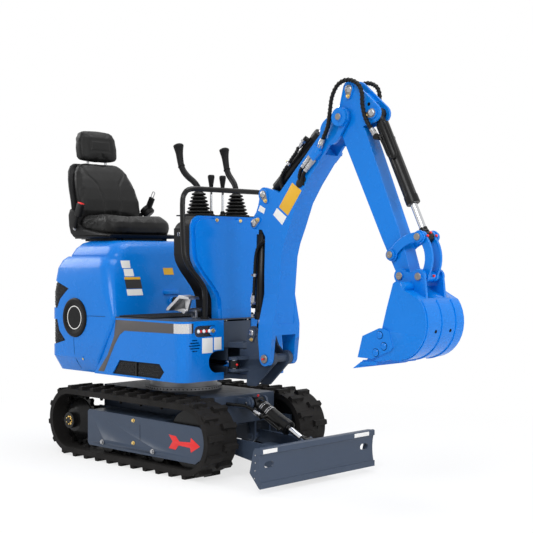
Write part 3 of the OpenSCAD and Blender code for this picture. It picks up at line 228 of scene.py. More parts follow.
worldTree.links.new(seenPlain(worldTree), worldMix.inputs["Fac"])
worldTree.links.new(soft.outputs[0], worldMix.inputs[1])
worldTree.links.new(plain.outputs[0], worldMix.inputs[2])
worldTree.links.new(worldMix.outputs[0], worldOut.inputs["Surface"])

floorMaterial, floorTree, floorShader, floorWhere = newMaterial("studioFloor")
floorShader.inputs["Base Color"].default_value = (0.93, 0.93, 0.93, 1)
floorShader.inputs["Roughness"].default_value = 0.9
floorShader.inputs["Specular IOR Level"].default_value = 0.0
floorGlow = floorTree.nodes.new("ShaderNodeEmission")
floorGlow.inputs["Strength"].default_value = studio["white"]
floorMix = floorTree.nodes.new("ShaderNodeMixShader")
farOff = floorTree.nodes.new("ShaderNodeVectorMath")   # the shadow fades out away from the machine
farOff.operation = "LENGTH"
floorTree.links.new(floorWhere, farOff.inputs[0])
plainShare = addRange(floorTree, farOff.outputs["Value"], 1 - studio["shadow"], 1, studio["shadowFrom"],
                      studio["shadowTo"])
floorShare = floorTree.nodes.new("ShaderNodeMath")
floorShare.operation = "MULTIPLY"
floorTree.links.new(seenPlain(floorTree), floorShare.inputs[0])
floorTree.links.new(plainShare, floorShare.inputs[1])
floorTree.links.new(floorShare.outputs[0], floorMix.inputs["Fac"])
floorTree.links.new(floorShader.outputs[0], floorMix.inputs[1])
floorTree.links.new(floorGlow.outputs[0], floorMix.inputs[2])
floorTree.links.new(floorMix.outputs[0], floorTree.nodes["Material Output"].inputs["Surface"])

floorBm = bmesh.new()
bmesh.ops.create_grid(floorBm, x_segments=2, y_segments=2, size=studio["floorSize"] / 2)
floorMesh = bpy.data.meshes.new("floor")
floorBm.to_mesh(floorMesh)
floorBm.free()
floor = bpy.data.objects.new("floor", floorMesh)
scene.collection.objects.link(floor)
floorMesh.materials.append(floorMaterial)

lamps = [
    {"name": "key", "at": (3.4, -4.6, 4.6), "size": 3.2, "power": 185},
    {"name": "front", "at": (6.0, 0.6, 2.4), "size": 3.0, "power": 95},
    {"name": "rear", "at": (-4.2, -1.6, 3.6), "size": 2.8, "power": 85},
    {"name": "top", "at": (0.4, 1.2, 5.6), "size": 3.6, "power": 115},
]
for lamp in lamps:
    light = bpy.data.lights.new(lamp["name"], "AREA")
    light.shape = "DISK"
    light.size = lamp["size"]
    light.energy = lamp["power"]
    holder = bpy.data.objects.new(lamp["name"], light)
    holder.location = lamp["at"]
    holder.rotation_euler = (Vector((0.3, 0, 0.8)) - holder.location).to_track_quat("-Z", "Y").to_euler()
    scene.collection.objects.link(holder)
print("studio made")

# mesh helpers: a bmesh is modelled in millimetres, and keepPiece brings it to metres
rightward = (0, -1, 0)
leftward = (0, 1, 0)
forward = (1, 0, 0)
upward = (0, 0, 1)
toMetres = (0.001, 0.001, 0.001)
toMillimetres = (1000, 1000, 1000)
weld = 0.002
nodeWeld = 0.00001   # in metres, before a node's mesh is scaled


def keepPiece(name, bm, material, body, sharp=35):
    bmesh.ops.remove_doubles(bm, verts=bm.verts, dist=weld)
    bmesh.ops.recalc_face_normals(bm, faces=bm.faces)
    bmesh.ops.scale(bm, vec=toMetres, verts=bm.verts)
    mesh = bpy.data.meshes.new(name)
    bm.to_mesh(mesh)
    bm.free()
    mesh.polygons.foreach_set("use_smooth", [True] * len(mesh.polygons))
    mesh.set_sharp_from_angle(angle=math.radians(sharp))
    piece = bpy.data.objects.new(name, mesh)
    scene.collection.objects.link(piece)
    mesh.materials.append(material)
    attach(piece, body)
    return piece


def turned(axis, at):
    return Matrix.Translation(at) @ Vector(upward).rotation_difference(Vector(axis)).to_matrix().to_4x4()


def vertsOf(geom):
    return [v for v in geom if isinstance(v, bmesh.types.BMVert)]


# adds a part, moved by a matrix, to a bmesh
def joinInto(bm, part, matrix):
    bmesh.ops.transform(part, matrix=matrix, verts=part.verts)
    mesh = bpy.data.meshes.new("part")
    part.to_mesh(mesh)
    part.free()
    bm.from_mesh(mesh)
    bpy.data.meshes.remove(mesh)


# a turned shape from a profile of (radius, height)
def addLathe(bm, profile, at, axis=upward, steps=20):
    part = bmesh.new()
    verts = [part.verts.new((radius, 0, height)) for radius, height in profile]
    edges = [part.edges.new(pair) for pair in zip(verts, verts[1:])]
    bmesh.ops.spin(part, geom=verts + edges, cent=(0, 0, 0), axis=(0, 0, 1), angle=2 * math.pi, steps=steps,
                   use_merge=True)
    bmesh.ops.remove_doubles(part, verts=part.verts, dist=weld)
    joinInto(bm, part, turned(axis, at))


# an outline raised by a depth, with a rounded rim
def addSlab(bm, outline, depth, matrix, bevel=0.0):
    part = bmesh.new()
    face = part.faces.new([part.verts.new((x, y, 0)) for x, y in outline])
    grown = bmesh.ops.extrude_face_region(part, geom=[face], use_keep_orig=True)
    bmesh.ops.translate(part, vec=(0, 0, depth), verts=vertsOf(grown["geom"]))
    if bevel:
        top = [e for e in part.edges if min(v.co.z for v in e.verts) > depth - 1e-4]
        bmesh.ops.bevel(part, geom=top, offset=bevel, affect="EDGES", segments=2, profile=0.5, material=-1)
    joinInto(bm, part, matrix)


# x forward and y up on the machine's right side, raised outwards
def rightSide(y, x=0, z=0):
    return Matrix.Translation((x, y, z)) @ Matrix.Rotation(math.radians(90), 4, "X")


# x to the machine's left and y up on a face that looks forward, raised forwards
def frontSide(x, y=0, z=0):
    return (Matrix.Translation((x, y, z)) @ Matrix.Rotation(math.radians(90), 4, "Z")
            @ Matrix.Rotation(math.radians(90), 4, "X"))


def addBothSides(bm):
    copy = bmesh.ops.duplicate(bm, geom=bm.verts[:] + bm.edges[:] + bm.faces[:])
    bmesh.ops.scale(bm, vec=(1, -1, 1), verts=vertsOf(copy["geom"]))


def box2d(x0, y0, x1, y1):
    return [(x0, y0), (x1, y0), (x1, y1), (x0, y1)]


# outline round two circles
def eggOutline(a, ra, b, rb, steps=10):
    a, b = Vector(a), Vector(b)
    way = math.atan2(b.y - a.y, b.x - a.x)
    lean = math.acos((ra - rb) / (b - a).length)
    out = []
    for centre, radius, first, last in ((a, ra, lean, 2 * math.pi - lean), (b, rb, -lean, lean)):
        for i in range(steps + 1):
            angle = way + first + (last - first) * i / steps
            out.append((centre.x + radius * math.cos(angle), centre.y + radius * math.sin(angle)))
    return out


def addHexBolt(bm, at, axis, across, height, washer=True):
    at = Vector(at)
    axis = Vector(axis).normalized()
    if washer:
        addLathe(bm, [(0, 0), (across * 0.72, 0), (across * 0.72, 1.4), (across * 0.6, 2), (0, 2)], at, axis,
                 16)
        at = at + axis * 2
    hexagon = [(across / 1.732 * math.cos(k * math.pi / 3), across / 1.732 * math.sin(k * math.pi / 3))
               for k in range(6)]
    addSlab(bm, hexagon, height, turned(axis, at), across * 0.07)


# a domed pin end
def addPinEnd(bm, at, axis, radius, height=5):
    addLathe(bm, [(0, -1), (radius, -1), (radius, height * 0.35), (radius * 0.93, height * 0.7),
                  (radius * 0.75, height), (radius * 0.3, height * 1.15), (0, height * 1.18)], at, axis, 24)


# a grease cap: thin stem and a small ball
def addGreaseCap(bm, at, axis):
    addLathe(bm, [(0, -2), (3, -2), (3, 1), (5, 2), (5.6, 5), (4.6, 8), (2.5, 9.4), (0, 9.8)], at, axis, 14)


def smoothRoute(points, steps):
    out = []
    for i in range(len(points) - 1):
        a, b = points[max(i - 1, 0)], points[i]
        c, d = points[i + 1], points[min(i + 2, len(points) - 1)]
        for s in range(steps):
            t = s / steps
            out.append(0.5 * (2 * b + (c - a) * t + (2 * a - 5 * b + 4 * c - d) * t * t
                              + (3 * b - a - 3 * c + d) * t ** 3))
    return out + [points[-1]]


def tubeMesh(name, points, radius, sides=10):
    curve = bpy.data.curves.new(name, "CURVE")
    curve.dimensions = "3D"
    curve.bevel_depth = radius
    curve.bevel_resolution = max(1, sides // 4 - 1)
    curve.use_fill_caps = True
    spline = curve.splines.new("POLY")
    spline.points.add(len(points) - 1)
    for point, co in zip(spline.points, points):
        point.co = (*co, 1)
    holder = bpy.data.objects.new(name, curve)
    scene.collection.objects.link(holder)
    mesh = bpy.data.meshes.new_from_object(holder)
    bpy.data.objects.remove(holder)
    mesh.name = name
    return mesh


def addTube(bm, points, radius, sides=12, steps=4):
    line = smoothRoute([Vector(p) for p in points], steps) if steps > 1 else [Vector(p) for p in points]
    mesh = tubeMesh("tube", line, radius, sides)
    bm.from_mesh(mesh)
    bpy.data.meshes.remove(mesh)


# a point beside a cylinder's line in the side view: length along it, height to its left, and y
def beside(p, q, s, h, y):
    along = (Vector(q) - Vector(p)).normalized()
    return Vector((p[0] + s * along.x - h * along.y, y, p[1] + s * along.y + h * along.x))


# linkage points of the frame, x and z
boomFoot, boomRodEye, boomBarrelEye = (665, 541), (546, 653), (563, 1163)
armBarrelEye, armPivot, armRodEye = (623, 1294), (1092, 1610), (1125, 1728)
bucketBarrelEye, rockerPivot, linkTop = (1254, 1615), (1365, 1016), (1506, 1089)
bucketPivot, linkFoot = (1423, 929), (1518, 928)
bladeBarrelEye, bladeRodEye = (518, 322), (846, 166)

# hoses: two loops over the arm's pivot, and one to each of three cylinders, with a spiral guard round each
loopHose = {
    "radius": 8.5, "guard": 2.5, "pitch": 17,
    "route": [(1000, 68, 1522), (1010, 68, 1540), (1028, 68, 1576), (1040, 68, 1640), (1052, 68, 1700),
              (1086, 68, 1749), (1138, 66, 1764), (1190, 64, 1744), (1212, 60, 1704), (1212, 56, 1652),
              (1224, 52, 1598), (1244, 50, 1562), (1258, 50, 1545)],
}
cylinderHose = {"radius": 7.4, "guard": 2.1, "pitch": 15, "fitting": 52, "gap": 0.15, "lead": 14}
cylinderPorts = {
    "boom": {"line": (boomBarrelEye, boomRodEye), "port": (388, -10, -40), "bodies": ("boom", "boom_barrel"),
             "route": [(630.6, -36, 1084), (614, -36, 1084), (594, -38, 1076), (578, -39, 1061),
                       (566, -40, 1043), (559, -41, 1020), (555, -42, 990), (552, -42, 950), (550, -42, 910),
                       (547, -41, 880), (544, -40, 850)]},
    "arm": {"line": (armBarrelEye, armRodEye), "port": (340, 29, -27), "bodies": ("boom", "arm_barrel"),
            "route": [(735, -38, 1312), (723, -38, 1325), (717, -38, 1344), (718, -38, 1362),
                      (724, -38, 1380), (735, -38, 1396), (748, -39, 1409), (768, -39, 1430),
                      (788, -38, 1454), (806, -34, 1476)]},
    "blade": {"line": (bladeBarrelEye, bladeRodEye), "port": (112, -8, -62),
              "bodies": ("undercarriage", "blade_barrel"),
              "route": [(445.3, -120, 318), (462, -120, 318), (482, -111, 317), (502, -95, 316),
                        (520, -79, 312), (538, -67, 304)]},
}


def helixAround(points, radius, pitch, perTurn=8):
    out = []
    travelled = 0.0
    side = Vector((0.25, 0.93, 0.27))
    for here, after in zip(points, points[1:]):
        step = after - here
        along = step.normalized()
        across = along.cross(side).normalized()
        up = across.cross(along)
        count = max(1, round(step.length / pitch * perTurn))
        for k in range(count):
            turn = 2 * math.pi * (travelled + step.length * k / count) / pitch
            out.append(here + step * (k / count) + radius * (across * math.cos(turn) + up * math.sin(turn)))
        travelled += step.length
    return out


def hosePiece(name, mesh):
    mesh.polygons.foreach_set("use_smooth", [True] * len(mesh.polygons))
    piece = bpy.data.objects.new(name, mesh)
    scene.collection.objects.link(piece)
    mesh.materials.append(bootRubber)
    return piece


def makeHose(name, node, line, size):
    line = [p / 1000 for p in line]
    radius, guardSize, pitch = (size[key] / 1000 for key in ("radius", "guard", "pitch"))
    core = hosePiece(name, tubeMesh(name, line, radius, 16))
    wrap = helixAround(line, radius, pitch)
    guard = hosePiece(name + "Guard", tubeMesh(name + "Guard", wrap, guardSize, 6))
    for piece in (core, guard):
        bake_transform(piece)
    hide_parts(node)


for label, side in (("Right", -1), ("Left", 1)):
    route = [Vector((x, side * y, z)) for x, y, z in loopHose["route"]]
    makeHose("loopHose" + label, "hose_" + label.lower(), smoothRoute(route, 4), loopHose)
for label, row in cylinderPorts.items():
    s, h, y = row["port"]
    start = s - cylinderHose["fitting"]
    lead = beside(*row["line"], start - cylinderHose["lead"], h, y)
    end = beside(*row["line"], start - cylinderHose["gap"], h, y)
    free = [Vector(p) for p in row["route"]]
    line = [free[0]] + smoothRoute(free[1:] + [lead], 4) + [end]
    makeHose(label + "Hose", label + "_hose", line, cylinderHose)
print("hoses made")

# crimped chrome fittings over the ports, hose clamps and rings at the barrels' ends
sleeve = {"radius": 10.6, "ridge": 11.6, "nut": 23}


def addSleeve(bm, start, end, radius=sleeve["radius"], ridge=sleeve["ridge"]):
    start, end = Vector(start), Vector(end)
    length = (end - start).length
    profile = [(radius * 0.8, 0), (radius, 0.5), (radius, length * 0.2)]
    for k in range(3):
        profile += [(ridge, length * (0.22 + 0.12 * k)), (ridge, length * (0.29 + 0.12 * k)),
                    (radius, length * (0.31 + 0.12 * k))]
    profile += [(radius, length * 0.62)]
    addLathe(bm, profile, start, end - start, 20)
    addHexBolt(bm, start + (end - start) * 0.62, end - start, sleeve["nut"], length * 0.3, False)


def addBand(bm, at, axis, radius, width, thick=1.2):
    addLathe(bm, [(radius - 0.5, -width / 2), (radius + thick, -width / 2), (radius + thick, width / 2),
                  (radius - 0.5, width / 2), (radius - 0.5, -width / 2)], at, axis, 24)


barrelEnds = {
    "boom": {"line": (boomBarrelEye, boomRodEye), "end": 448, "radius": 28},
    "arm": {"line": (armBarrelEye, armRodEye), "end": 400, "radius": 28},
    "bucket": {"line": (bucketBarrelEye, linkTop), "end": 430, "radius": 28},
    "blade": {"line": (bladeBarrelEye, bladeRodEye), "end": 236, "radius": 33},
}
clamps = {
    "boom": {"at": (551, -42, 922), "axis": (-0.05, 0, -1)},
    "arm": {"at": (768, -39, 1430), "axis": (0.64, 0, 0.77)},
}
for label, row in barrelEnds.items():
    bm = bmesh.new()
    along = beside(*row["line"], 1, 0, 0) - beside(*row["line"], 0, 0, 0)
    radius = row["radius"]
    addLathe(bm, [(15.4, 0), (19, 0), (24, 1.5), (radius - 1, 1.5), (radius + 1.6, 0), (radius + 1.6, -16),
                  (radius - 0.5, -17)], beside(*row["line"], row["end"], 0, 0), along, 32)
    keepPiece(label + "Gland", bm, blackPaint, label + "_barrel")
    bm = bmesh.new()
    addBand(bm, beside(*row["line"], row["end"] - 19, 0, 0), along, radius, 3)
    if label in cylinderPorts:
        s, h, y = cylinderPorts[label]["port"]
        near, far = (beside(*row["line"], place, h, y) for place in (s - cylinderHose["fitting"], s - 6))
        addSleeve(bm, near, far)
    if label == "blade":
        for s in (56, 66, 96, 106):
            addBand(bm, beside(*row["line"], s, 0, 0), along, row["radius"], 5)
    if label == "bucket":
        for side in (-1, 1):
            addSleeve(bm, (1258, side * 50, 1545), (1281, side * 50, 1517), 11.4, 12.4)
    keepPiece(label + "BarrelTrim", bm, brightSteel, label + "_barrel")
for label, row in clamps.items():
    bm = bmesh.new()
    at, axis = Vector(row["at"]), Vector(row["axis"])
    addBand(bm, at, axis, 9.2, 14)
    outward = axis.cross(Vector(leftward)).normalized()
    if outward.x > 0:
        outward = -outward
    addSlab(bm, box2d(-6, -7, 6, 7), 6, turned(outward, at + outward * 9), 1)
    keepPiece(label + "HoseClamp", bm, brightSteel, label + "_barrel")
    bm = bmesh.new()
    addHexBolt(bm, at + outward * 15, outward, 9, 5, False)
    keepPiece(label + "ClampBolt", bm, goldZinc, label + "_barrel")

# dark eyes and collars on the rods
rodEyes = {
    "boom": {"line": (boomBarrelEye, boomRodEye), "radius": 26, "half": 21},
    "arm": {"line": (armBarrelEye, armRodEye), "radius": 26, "half": 21},
    "bucket": {"line": (bucketBarrelEye, linkTop), "radius": 24, "half": 19},
    "blade": {"line": (bladeBarrelEye, bladeRodEye), "radius": 24, "half": 20},
}


def addEye(bm, at, axis, radius, half):
    addLathe(bm, [(radius - 6, -half - 0.4), (radius + 0.6, -half - 0.4), (radius + 1, -half + 2),
                  (radius + 1, half - 2), (radius + 0.6, half + 0.4), (radius - 6, half + 0.4),
                  (radius - 6, -half - 0.4)], at, axis, 32)


for label, row in rodEyes.items():
    bm = bmesh.new()
    (x0, z0), (x1, z1) = row["line"]
    eye = Vector((x1, 0, z1))
    along = (eye - Vector((x0, 0, z0))).normalized()
    addEye(bm, eye, rightward, row["radius"], row["half"])
    addLathe(bm, [(14, 0), (17.5, 1), (17.5, 14), (20, 17), (20, 22)], eye - along * (row["radius"] + 18),
             along, 24)
    keepPiece(label + "RodEye", bm, blackPaint, label + "_rod")
bm = bmesh.new()
addEye(bm, (485, -112, 507), upward, 25, 17)
keepPiece("swingRodEye", bm, blackPaint, "swing_rod")
print("cylinders trimmed")

# pins: a domed end on an oblong boss with a keeper bolt, or a flat end, on both sides
pins = {
    "armBarrelPin": {"body": "boom", "at": armBarrelEye, "radius": 16, "end": 63, "boss": (26, 55, 61),
                     "bolt": (642, 1264), "paint": "paint_blue"},
    "boomBarrelPin": {"body": "boom", "at": boomBarrelEye, "radius": 16, "end": 63, "boss": (24, 55, 61),
                      "bolt": (593, 1179), "paint": "paint_blue"},
    "armPivotPin": {"body": "boom", "at": armPivot, "radius": 15, "end": 76},
    "armRodPin": {"body": "arm", "at": armRodEye, "radius": 16, "end": 44, "boss": (25, 38, 44),
                  "bolt": (1124, 1697), "paint": "paint_blue"},
    "bucketBarrelPin": {"body": "arm", "at": bucketBarrelEye, "radius": 16, "end": 48, "boss": (25, 38, 44),
                        "bolt": (1224, 1605), "paint": "paint_blue"},
    "rockerPin": {"body": "arm", "at": rockerPivot, "radius": 15, "end": 66, "collar": (22, 52.5)},
    "bucketPin": {"body": "arm", "at": bucketPivot, "radius": 16, "end": 75},
    "linkTopPin": {"body": "rocker", "at": linkTop, "radius": 15, "end": 66, "collar": (22, 52)},
    "linkFootPin": {"body": "bucket", "at": linkFoot, "radius": 16, "end": 75},
    "boomRodPin": {"body": "swing_bracket", "at": boomRodEye, "radius": 16, "end": 60, "boss": (24, 51, 57),
                   "bolt": (545, 622), "paint": "paint_slate"},
    "boomFootPin": {"body": "swing_bracket", "at": boomFoot, "radius": 20, "end": 97},
}
paints = {"paint_blue": bluePaint, "paint_slate": slatePaint}
for name, row in pins.items():
    bm = bmesh.new()
    at = (row["at"][0], -row["end"], row["at"][1])
    if "boss" in row:
        addPinEnd(bm, at, rightward, row["radius"])
    else:
        radius = row["radius"]
        addLathe(bm, [(0, -1), (radius, -1), (radius, 1), (radius - 2, 3), (4, 3), (3, 2), (0, 2)], at,
                 rightward, 28)
    addBothSides(bm)
    keepPiece(name, bm, brightSteel if "boss" in row else pinSteel, row["body"])
    if "collar" in row:
        radius, base = row["collar"]
        bm = bmesh.new()
        addLathe(bm, [(row["radius"] - 1, 0), (radius, 0), (radius, row["end"] - base - 4),
                      (radius - 2, row["end"] - base - 2), (row["radius"] - 1, row["end"] - base - 2),
                      (row["radius"] - 1, 0)], (row["at"][0], -base, row["at"][1]), rightward, 28)
        addBothSides(bm)
        keepPiece(name + "Collar", bm, bluePaint, row["body"])
    if "boss" not in row:
        continue
    radius, base, top = row["boss"]
    bm = bmesh.new()
    addSlab(bm, eggOutline(row["at"], radius, row["bolt"], 12), top - base, rightSide(-base), 2)
    addBothSides(bm)
    keepPiece(name + "Boss", bm, paints[row["paint"]], row["body"])
    bm = bmesh.new()
    addSlab(bm, eggOutline(row["at"], row["radius"] + 3, row["bolt"], 10), 2, rightSide(-top), 0.6)
    addBothSides(bm)
    keepPiece(name + "Plate", bm, pinSteel, row["body"])
    bm = bmesh.new()
    addHexBolt(bm, (row["bolt"][0], -top - 2, row["bolt"][1]), rightward, 12, 6)
    addBothSides(bm)
    keepPiece(name + "Keeper", bm, goldZinc, row["body"])

# red caps on the grease nipples
linkOut = (0.75, 0, 0.66)
greaseCaps = [
    {"body": "swing_bracket", "at": [(665, -101, 541), (665, 101, 541)], "axis": [rightward, leftward]},
    {"body": "swing_rod", "at": [(509, -120, 507)], "axis": [(0.95, -0.3, 0)]},
    {"body": "blade_barrel", "at": [(530, 0, 351)], "axis": [(0.3, 0, 0.95)]},
    {"body": "bucket_barrel", "at": [(1243, 0, 1639)], "axis": [(-0.43, 0, 0.9)]},
    {"body": "bucket_rod", "at": [(1524, 0, 1104)], "axis": [linkOut]},
    {"body": "bucket_link", "at": [(1530, -29.5, 1094), (1530, 29.5, 1094), (1539, 0, 930)],
     "axis": [forward, forward, forward]},
]
for row in greaseCaps:
    bm = bmesh.new()
    for at, axis in zip(row["at"], row["axis"]):
        addGreaseCap(bm, at, axis)
    words = row["body"].split("_")
    keepPiece(words[0] + "".join(word.title() for word in words[1:]) + "Caps", bm, redCap, row["body"])
print("pins made")

# boom: a web between the cylinder ears and shoulders that lead into the foot
earWeb = {"outline": [(593, 1278), (585, 1245), (572, 1215), (545, 1183), (563, 1150), (606, 1140),
                      (640, 1200), (650, 1262)],
          "from": 42, "to": 54.8}
bm = bmesh.new()
addSlab(bm, earWeb["outline"], earWeb["to"] - earWeb["from"], rightSide(-earWeb["from"]), 2)
addBothSides(bm)
keepPiece("earWebs", bm, bluePaint, "boom")
shoulder = {"z": (699, 840), "x": ((626, 712), (627, 718)), "y": (54, 92)}
bm = bmesh.new()
for side in (-1, 1):
    part = bmesh.new()
    (x0, x1), (x2, x3) = shoulder["x"]
    for x, y, z in ((x0, 0, 0), (x1, 0, 0), (x0, 1, 0), (x1, 1, 0), (x2, 0, 1), (x3, 0, 1)):
        part.verts.new((x, side * shoulder["y"][y], shoulder["z"][z]))
    bmesh.ops.convex_hull(part, input=part.verts)
    joinInto(bm, part, Matrix())
keepPiece("footShoulders", bm, bluePaint, "boom")

# boom: blank plates, couplers with their fittings and the hoses that go into the boom
boomPlates = {
    "yellow": [(803, 1341), (861, 1303), (776, 1194), (721, 1234)],
    "white": [(708, 1230), (768, 1188), (741, 1152), (684, 1200)],
    "small": [(600, 1246), (634, 1230), (624, 1206), (587, 1222)],
}
plateFinish = {"yellow": plateYellow, "white": plateWhite, "small": plateWhite}
for label, outline in boomPlates.items():
    bm = bmesh.new()
    addSlab(bm, outline, 0.9, rightSide(-55.05), 0.4)
    keepPiece("boomPlate" + label.title(), bm, plateFinish[label], "boom")

coupler = {
    "top": (1000, 68, 1522), "way": (-0.485, 0, -0.874), "sleeve": 46, "block": (954, 1462),
    "depth": (55, 79), "outline": box2d(-28, -21, 30, 21), "turn": 44, "apart": 12, "y": 66,
    "fittings": [(944, 1452), (886, 1397)], "grommet": (858, 1344), "radius": 7.6,
}
bm = bmesh.new()
top = Vector(coupler["top"]) * Vector((1, -1, 1))
addSleeve(bm, top, top + Vector(coupler["way"]) * coupler["sleeve"], 13.2, 14)
a, b = (Vector((x, -coupler["y"], z)) for x, z in coupler["fittings"])
across = (b - a).cross(Vector(leftward)).normalized() * coupler["apart"]
for side in (-1, 1):
    addSleeve(bm, b + across * side, a + across * side)
addBothSides(bm)
keepPiece("couplerFittings", bm, brightSteel, "boom")
bm = bmesh.new()
turn = Matrix.Rotation(math.radians(coupler["turn"]), 4, "Z")
near, far = coupler["depth"]
addSlab(bm, coupler["outline"], far - near, rightSide(-near, *coupler["block"]) @ turn, 3)
addBothSides(bm)
keepPiece("couplerBlock", bm, bluePaint, "boom")
bm = bmesh.new()
addSlab(bm, eggOutline((-13, 0), 19, (13, 0), 18.9), 5, rightSide(-near, *coupler["grommet"]) @ turn, 2)
addBothSides(bm)
keepPiece("hoseGrommet", bm, bootRubber, "boom")

# short hose tails, held at both ends by the boom
bm = bmesh.new()
along = (b - a).normalized()
mid = Vector((coupler["grommet"][0], -60, coupler["grommet"][1]))
for k in (-1, 1):
    start = b + across * k
    aside = Vector((9 * k, 0, -9 * k))
    tail = [start, start + along * 16, start + along * 32 + Vector((3, 3, -4)),
            mid + aside + Vector((2, 0, 8)), mid + aside + Vector((5, 10, -6))]
    addTube(bm, tail, coupler["radius"], 16, 6)
    wrap = helixAround(smoothRoute(tail, 6), coupler["radius"], 11)
    addTube(bm, wrap, 1.3, 6, 1)
addBothSides(bm)
keepPiece("hoseTails", bm, bootRubber, "boom", 60)

# holes in the arm's nose: dark discs, painted shade inside the holes
bm = bmesh.new()
addLathe(bm, [(0, 0), (8, 0), (7, 0.8), (0, 0.8)], (1233, -38, 1654), rightward, 16)
addBothSides(bm)
keepPiece("noseHoles", bm, darkHole, "arm")
print("boom dressed")

# house side: stripe round the front corner, ring on the disc, seams
stripe = {
    "outline": [(-103, 701), (331, 699), (331, 653), (-34, 650), (-72, 628), (-111, 578), (-196, 441),
                (-245, 441), (-167, 526), (-116, 619)],
    "face": 350, "corner": (337, -294), "radius": 56, "low": 654, "high": 699, "end": (-296, -284),
}
bm = bmesh.new()
addSlab(bm, stripe["outline"], 0.9, rightSide(-stripe["face"]), 0.4)
addBothSides(bm)
keepPiece("sideStripe", bm, stripeGrey, "house")


def cornerBand(bm, first, last, low, high, thick):
    cx, cy = stripe["corner"]
    inner, outer = stripe["radius"] + 0.05, stripe["radius"] + thick
    ring = [bm.verts.new((cx + r * math.cos(first), cy + r * math.sin(first), z))
            for r, z in ((inner, low), (outer, low), (outer, high), (inner, high))]
    face = bm.faces.new(ring)
    bmesh.ops.spin(bm, geom=[face], cent=(cx, cy, 0), axis=(0, 0, 1), angle=last - first, steps=14)


# the stripe's band round the rounded front corner, coloured light silver as a painted highlight
bm = bmesh.new()
cornerBand(bm, math.radians(-96), math.radians(-2), stripe["low"], stripe["high"], 1.0)
addBothSides(bm)
keepPiece("stripeCorner", bm, stripeSilver, "house")
bm = bmesh.new()
addSlab(bm, box2d(stripe["end"][0], stripe["low"], stripe["end"][1], stripe["high"]), 0.9, frontSide(393),
        0.4)
addBothSides(bm)
keepPiece("stripeEnd", bm, plateDark, "house")

bm = bmesh.new()
addLathe(bm, [(55.5, 0), (55.5, 0.8), (56, 1.2), (59.5, 1.2), (60, 0.8), (60, 0), (55.5, 0)],
         (-420, -368, 700), rightward, 64)
addBothSides(bm)
keepPiece("discRing", bm, plateWhite, "house")


# a mesh's surface in millimetres, to drop small details on
def surfaceOf(mesh):
    part = bmesh.new()
    part.from_mesh(mesh)
    bmesh.ops.scale(part, vec=toMillimetres, verts=part.verts)
    tree = BVHTree.FromBMesh(part)
    part.free()
    return tree


def dropOn(tree, x, z, side=-1):
    place, normal, _, _ = tree.ray_cast(Vector((x, side * 700, z)), Vector((0, -side, 0)))
    return place, normal


def inOutline(x, z, outline, margin):
    inside = False
    near = math.inf
    for (x0, z0), (x1, z1) in zip(outline, outline[1:] + outline[:1]):
        if (z0 > z) != (z1 > z) and x < (x1 - x0) * (z - z0) / (z1 - z0) + x0:
            inside = not inside
        span = Vector((x1 - x0, z1 - z0))
        t = max(0, min(1, Vector((x - x0, z - z0)).dot(span) / span.length_squared))
        near = min(near, math.hypot(x - x0 - t * span.x, z - z0 - t * span.y))
    return inside and near > margin


# perforated grilles: a raised ring round each hole
grilles = {
    "pitch": (15, 13), "margin": 8, "bar": (48, 60),
    "lower": [(-130, 436), (232, 436), (262, 470), (228, 506), (-74, 506)],
    "cheek": [[(-700, 745), (-575, 745), (-548, 792), (-478, 846), (-600, 884), (-700, 872)],
              [(-700, 560), (-600, 556), (-504, 580), (-556, 628), (-575, 686), (-700, 686)]],
}
grilleSurface = surfaceOf(frame["nodes"]["grilles"].data)
hoodSurface = surfaceOf(frame["nodes"]["hood"].data)


def stampCells(bm, outline, side):
    stepX, stepZ = grilles["pitch"]
    low, high = min(z for _, z in outline), max(z for _, z in outline)
    first, last = min(x for x, _ in outline), max(x for x, _ in outline)
    for row in range(int((high - low) / stepZ) + 1):
        z = low + 4 + row * stepZ
        for column in range(int((last - first) / stepX) + 2):
            x = first + stepX * (column + 0.5 * (row % 2))
            if outline is grilles["lower"] and grilles["bar"][0] - 6 < x < grilles["bar"][1] + 6:
                continue
            if not inOutline(x, z, outline, grilles["margin"]):
                continue
            place, normal = dropOn(grilleSurface, x, z, side)
            if place is None or abs(place.y) < 236:
                continue
            addLathe(bm, [(3.8, -0.4), (4.4, 2.6), (5.6, 2.6), (6.8, -0.4)], place, normal, 8)


bm = bmesh.new()
stampCells(bm, grilles["lower"], -1)
for outline in grilles["cheek"]:
    for side in (-1, 1):
        stampCells(bm, outline, side)
keepPiece("grilleRings", bm, grilleBlack, "house", 50)
bm = bmesh.new()
barX = grilles["bar"]
addSlab(bm, box2d(barX[0], 436, barX[1], 506), 6, rightSide(-344), 1.5)
keepPiece("grilleBar", bm, blackPaint, "house")

# thin seams between panels
seams = [
    [(-330, 711), (-260, 713), (-180, 714), (-112, 715)],
    [(-431, 593), (-429, 560), (-425, 525), (-418, 492), (-410, 462), (-400, 440)],
]
bm = bmesh.new()
for seam in seams:
    places = [dropOn(hoodSurface, x, z)[0] for x, z in seam]
    addTube(bm, places, 1.1, 8)
addBothSides(bm)
keepPiece("hoodSeams", bm, darkHole, "house")
screwAt, screwOut = dropOn(hoodSurface, -354, 494)
bm = bmesh.new()
addLathe(bm, [(6, 0), (13, 0), (12, 1.6), (10, 2), (8, 0.8), (6, 0)], screwAt, screwOut, 24)
addBothSides(bm)
keepPiece("cheekCups", bm, bluePaint, "house")
bm = bmesh.new()
addHexBolt(bm, screwAt, screwOut, 11, 3, False)
addBothSides(bm)
keepPiece("cheekScrews", bm, goldZinc, "house")

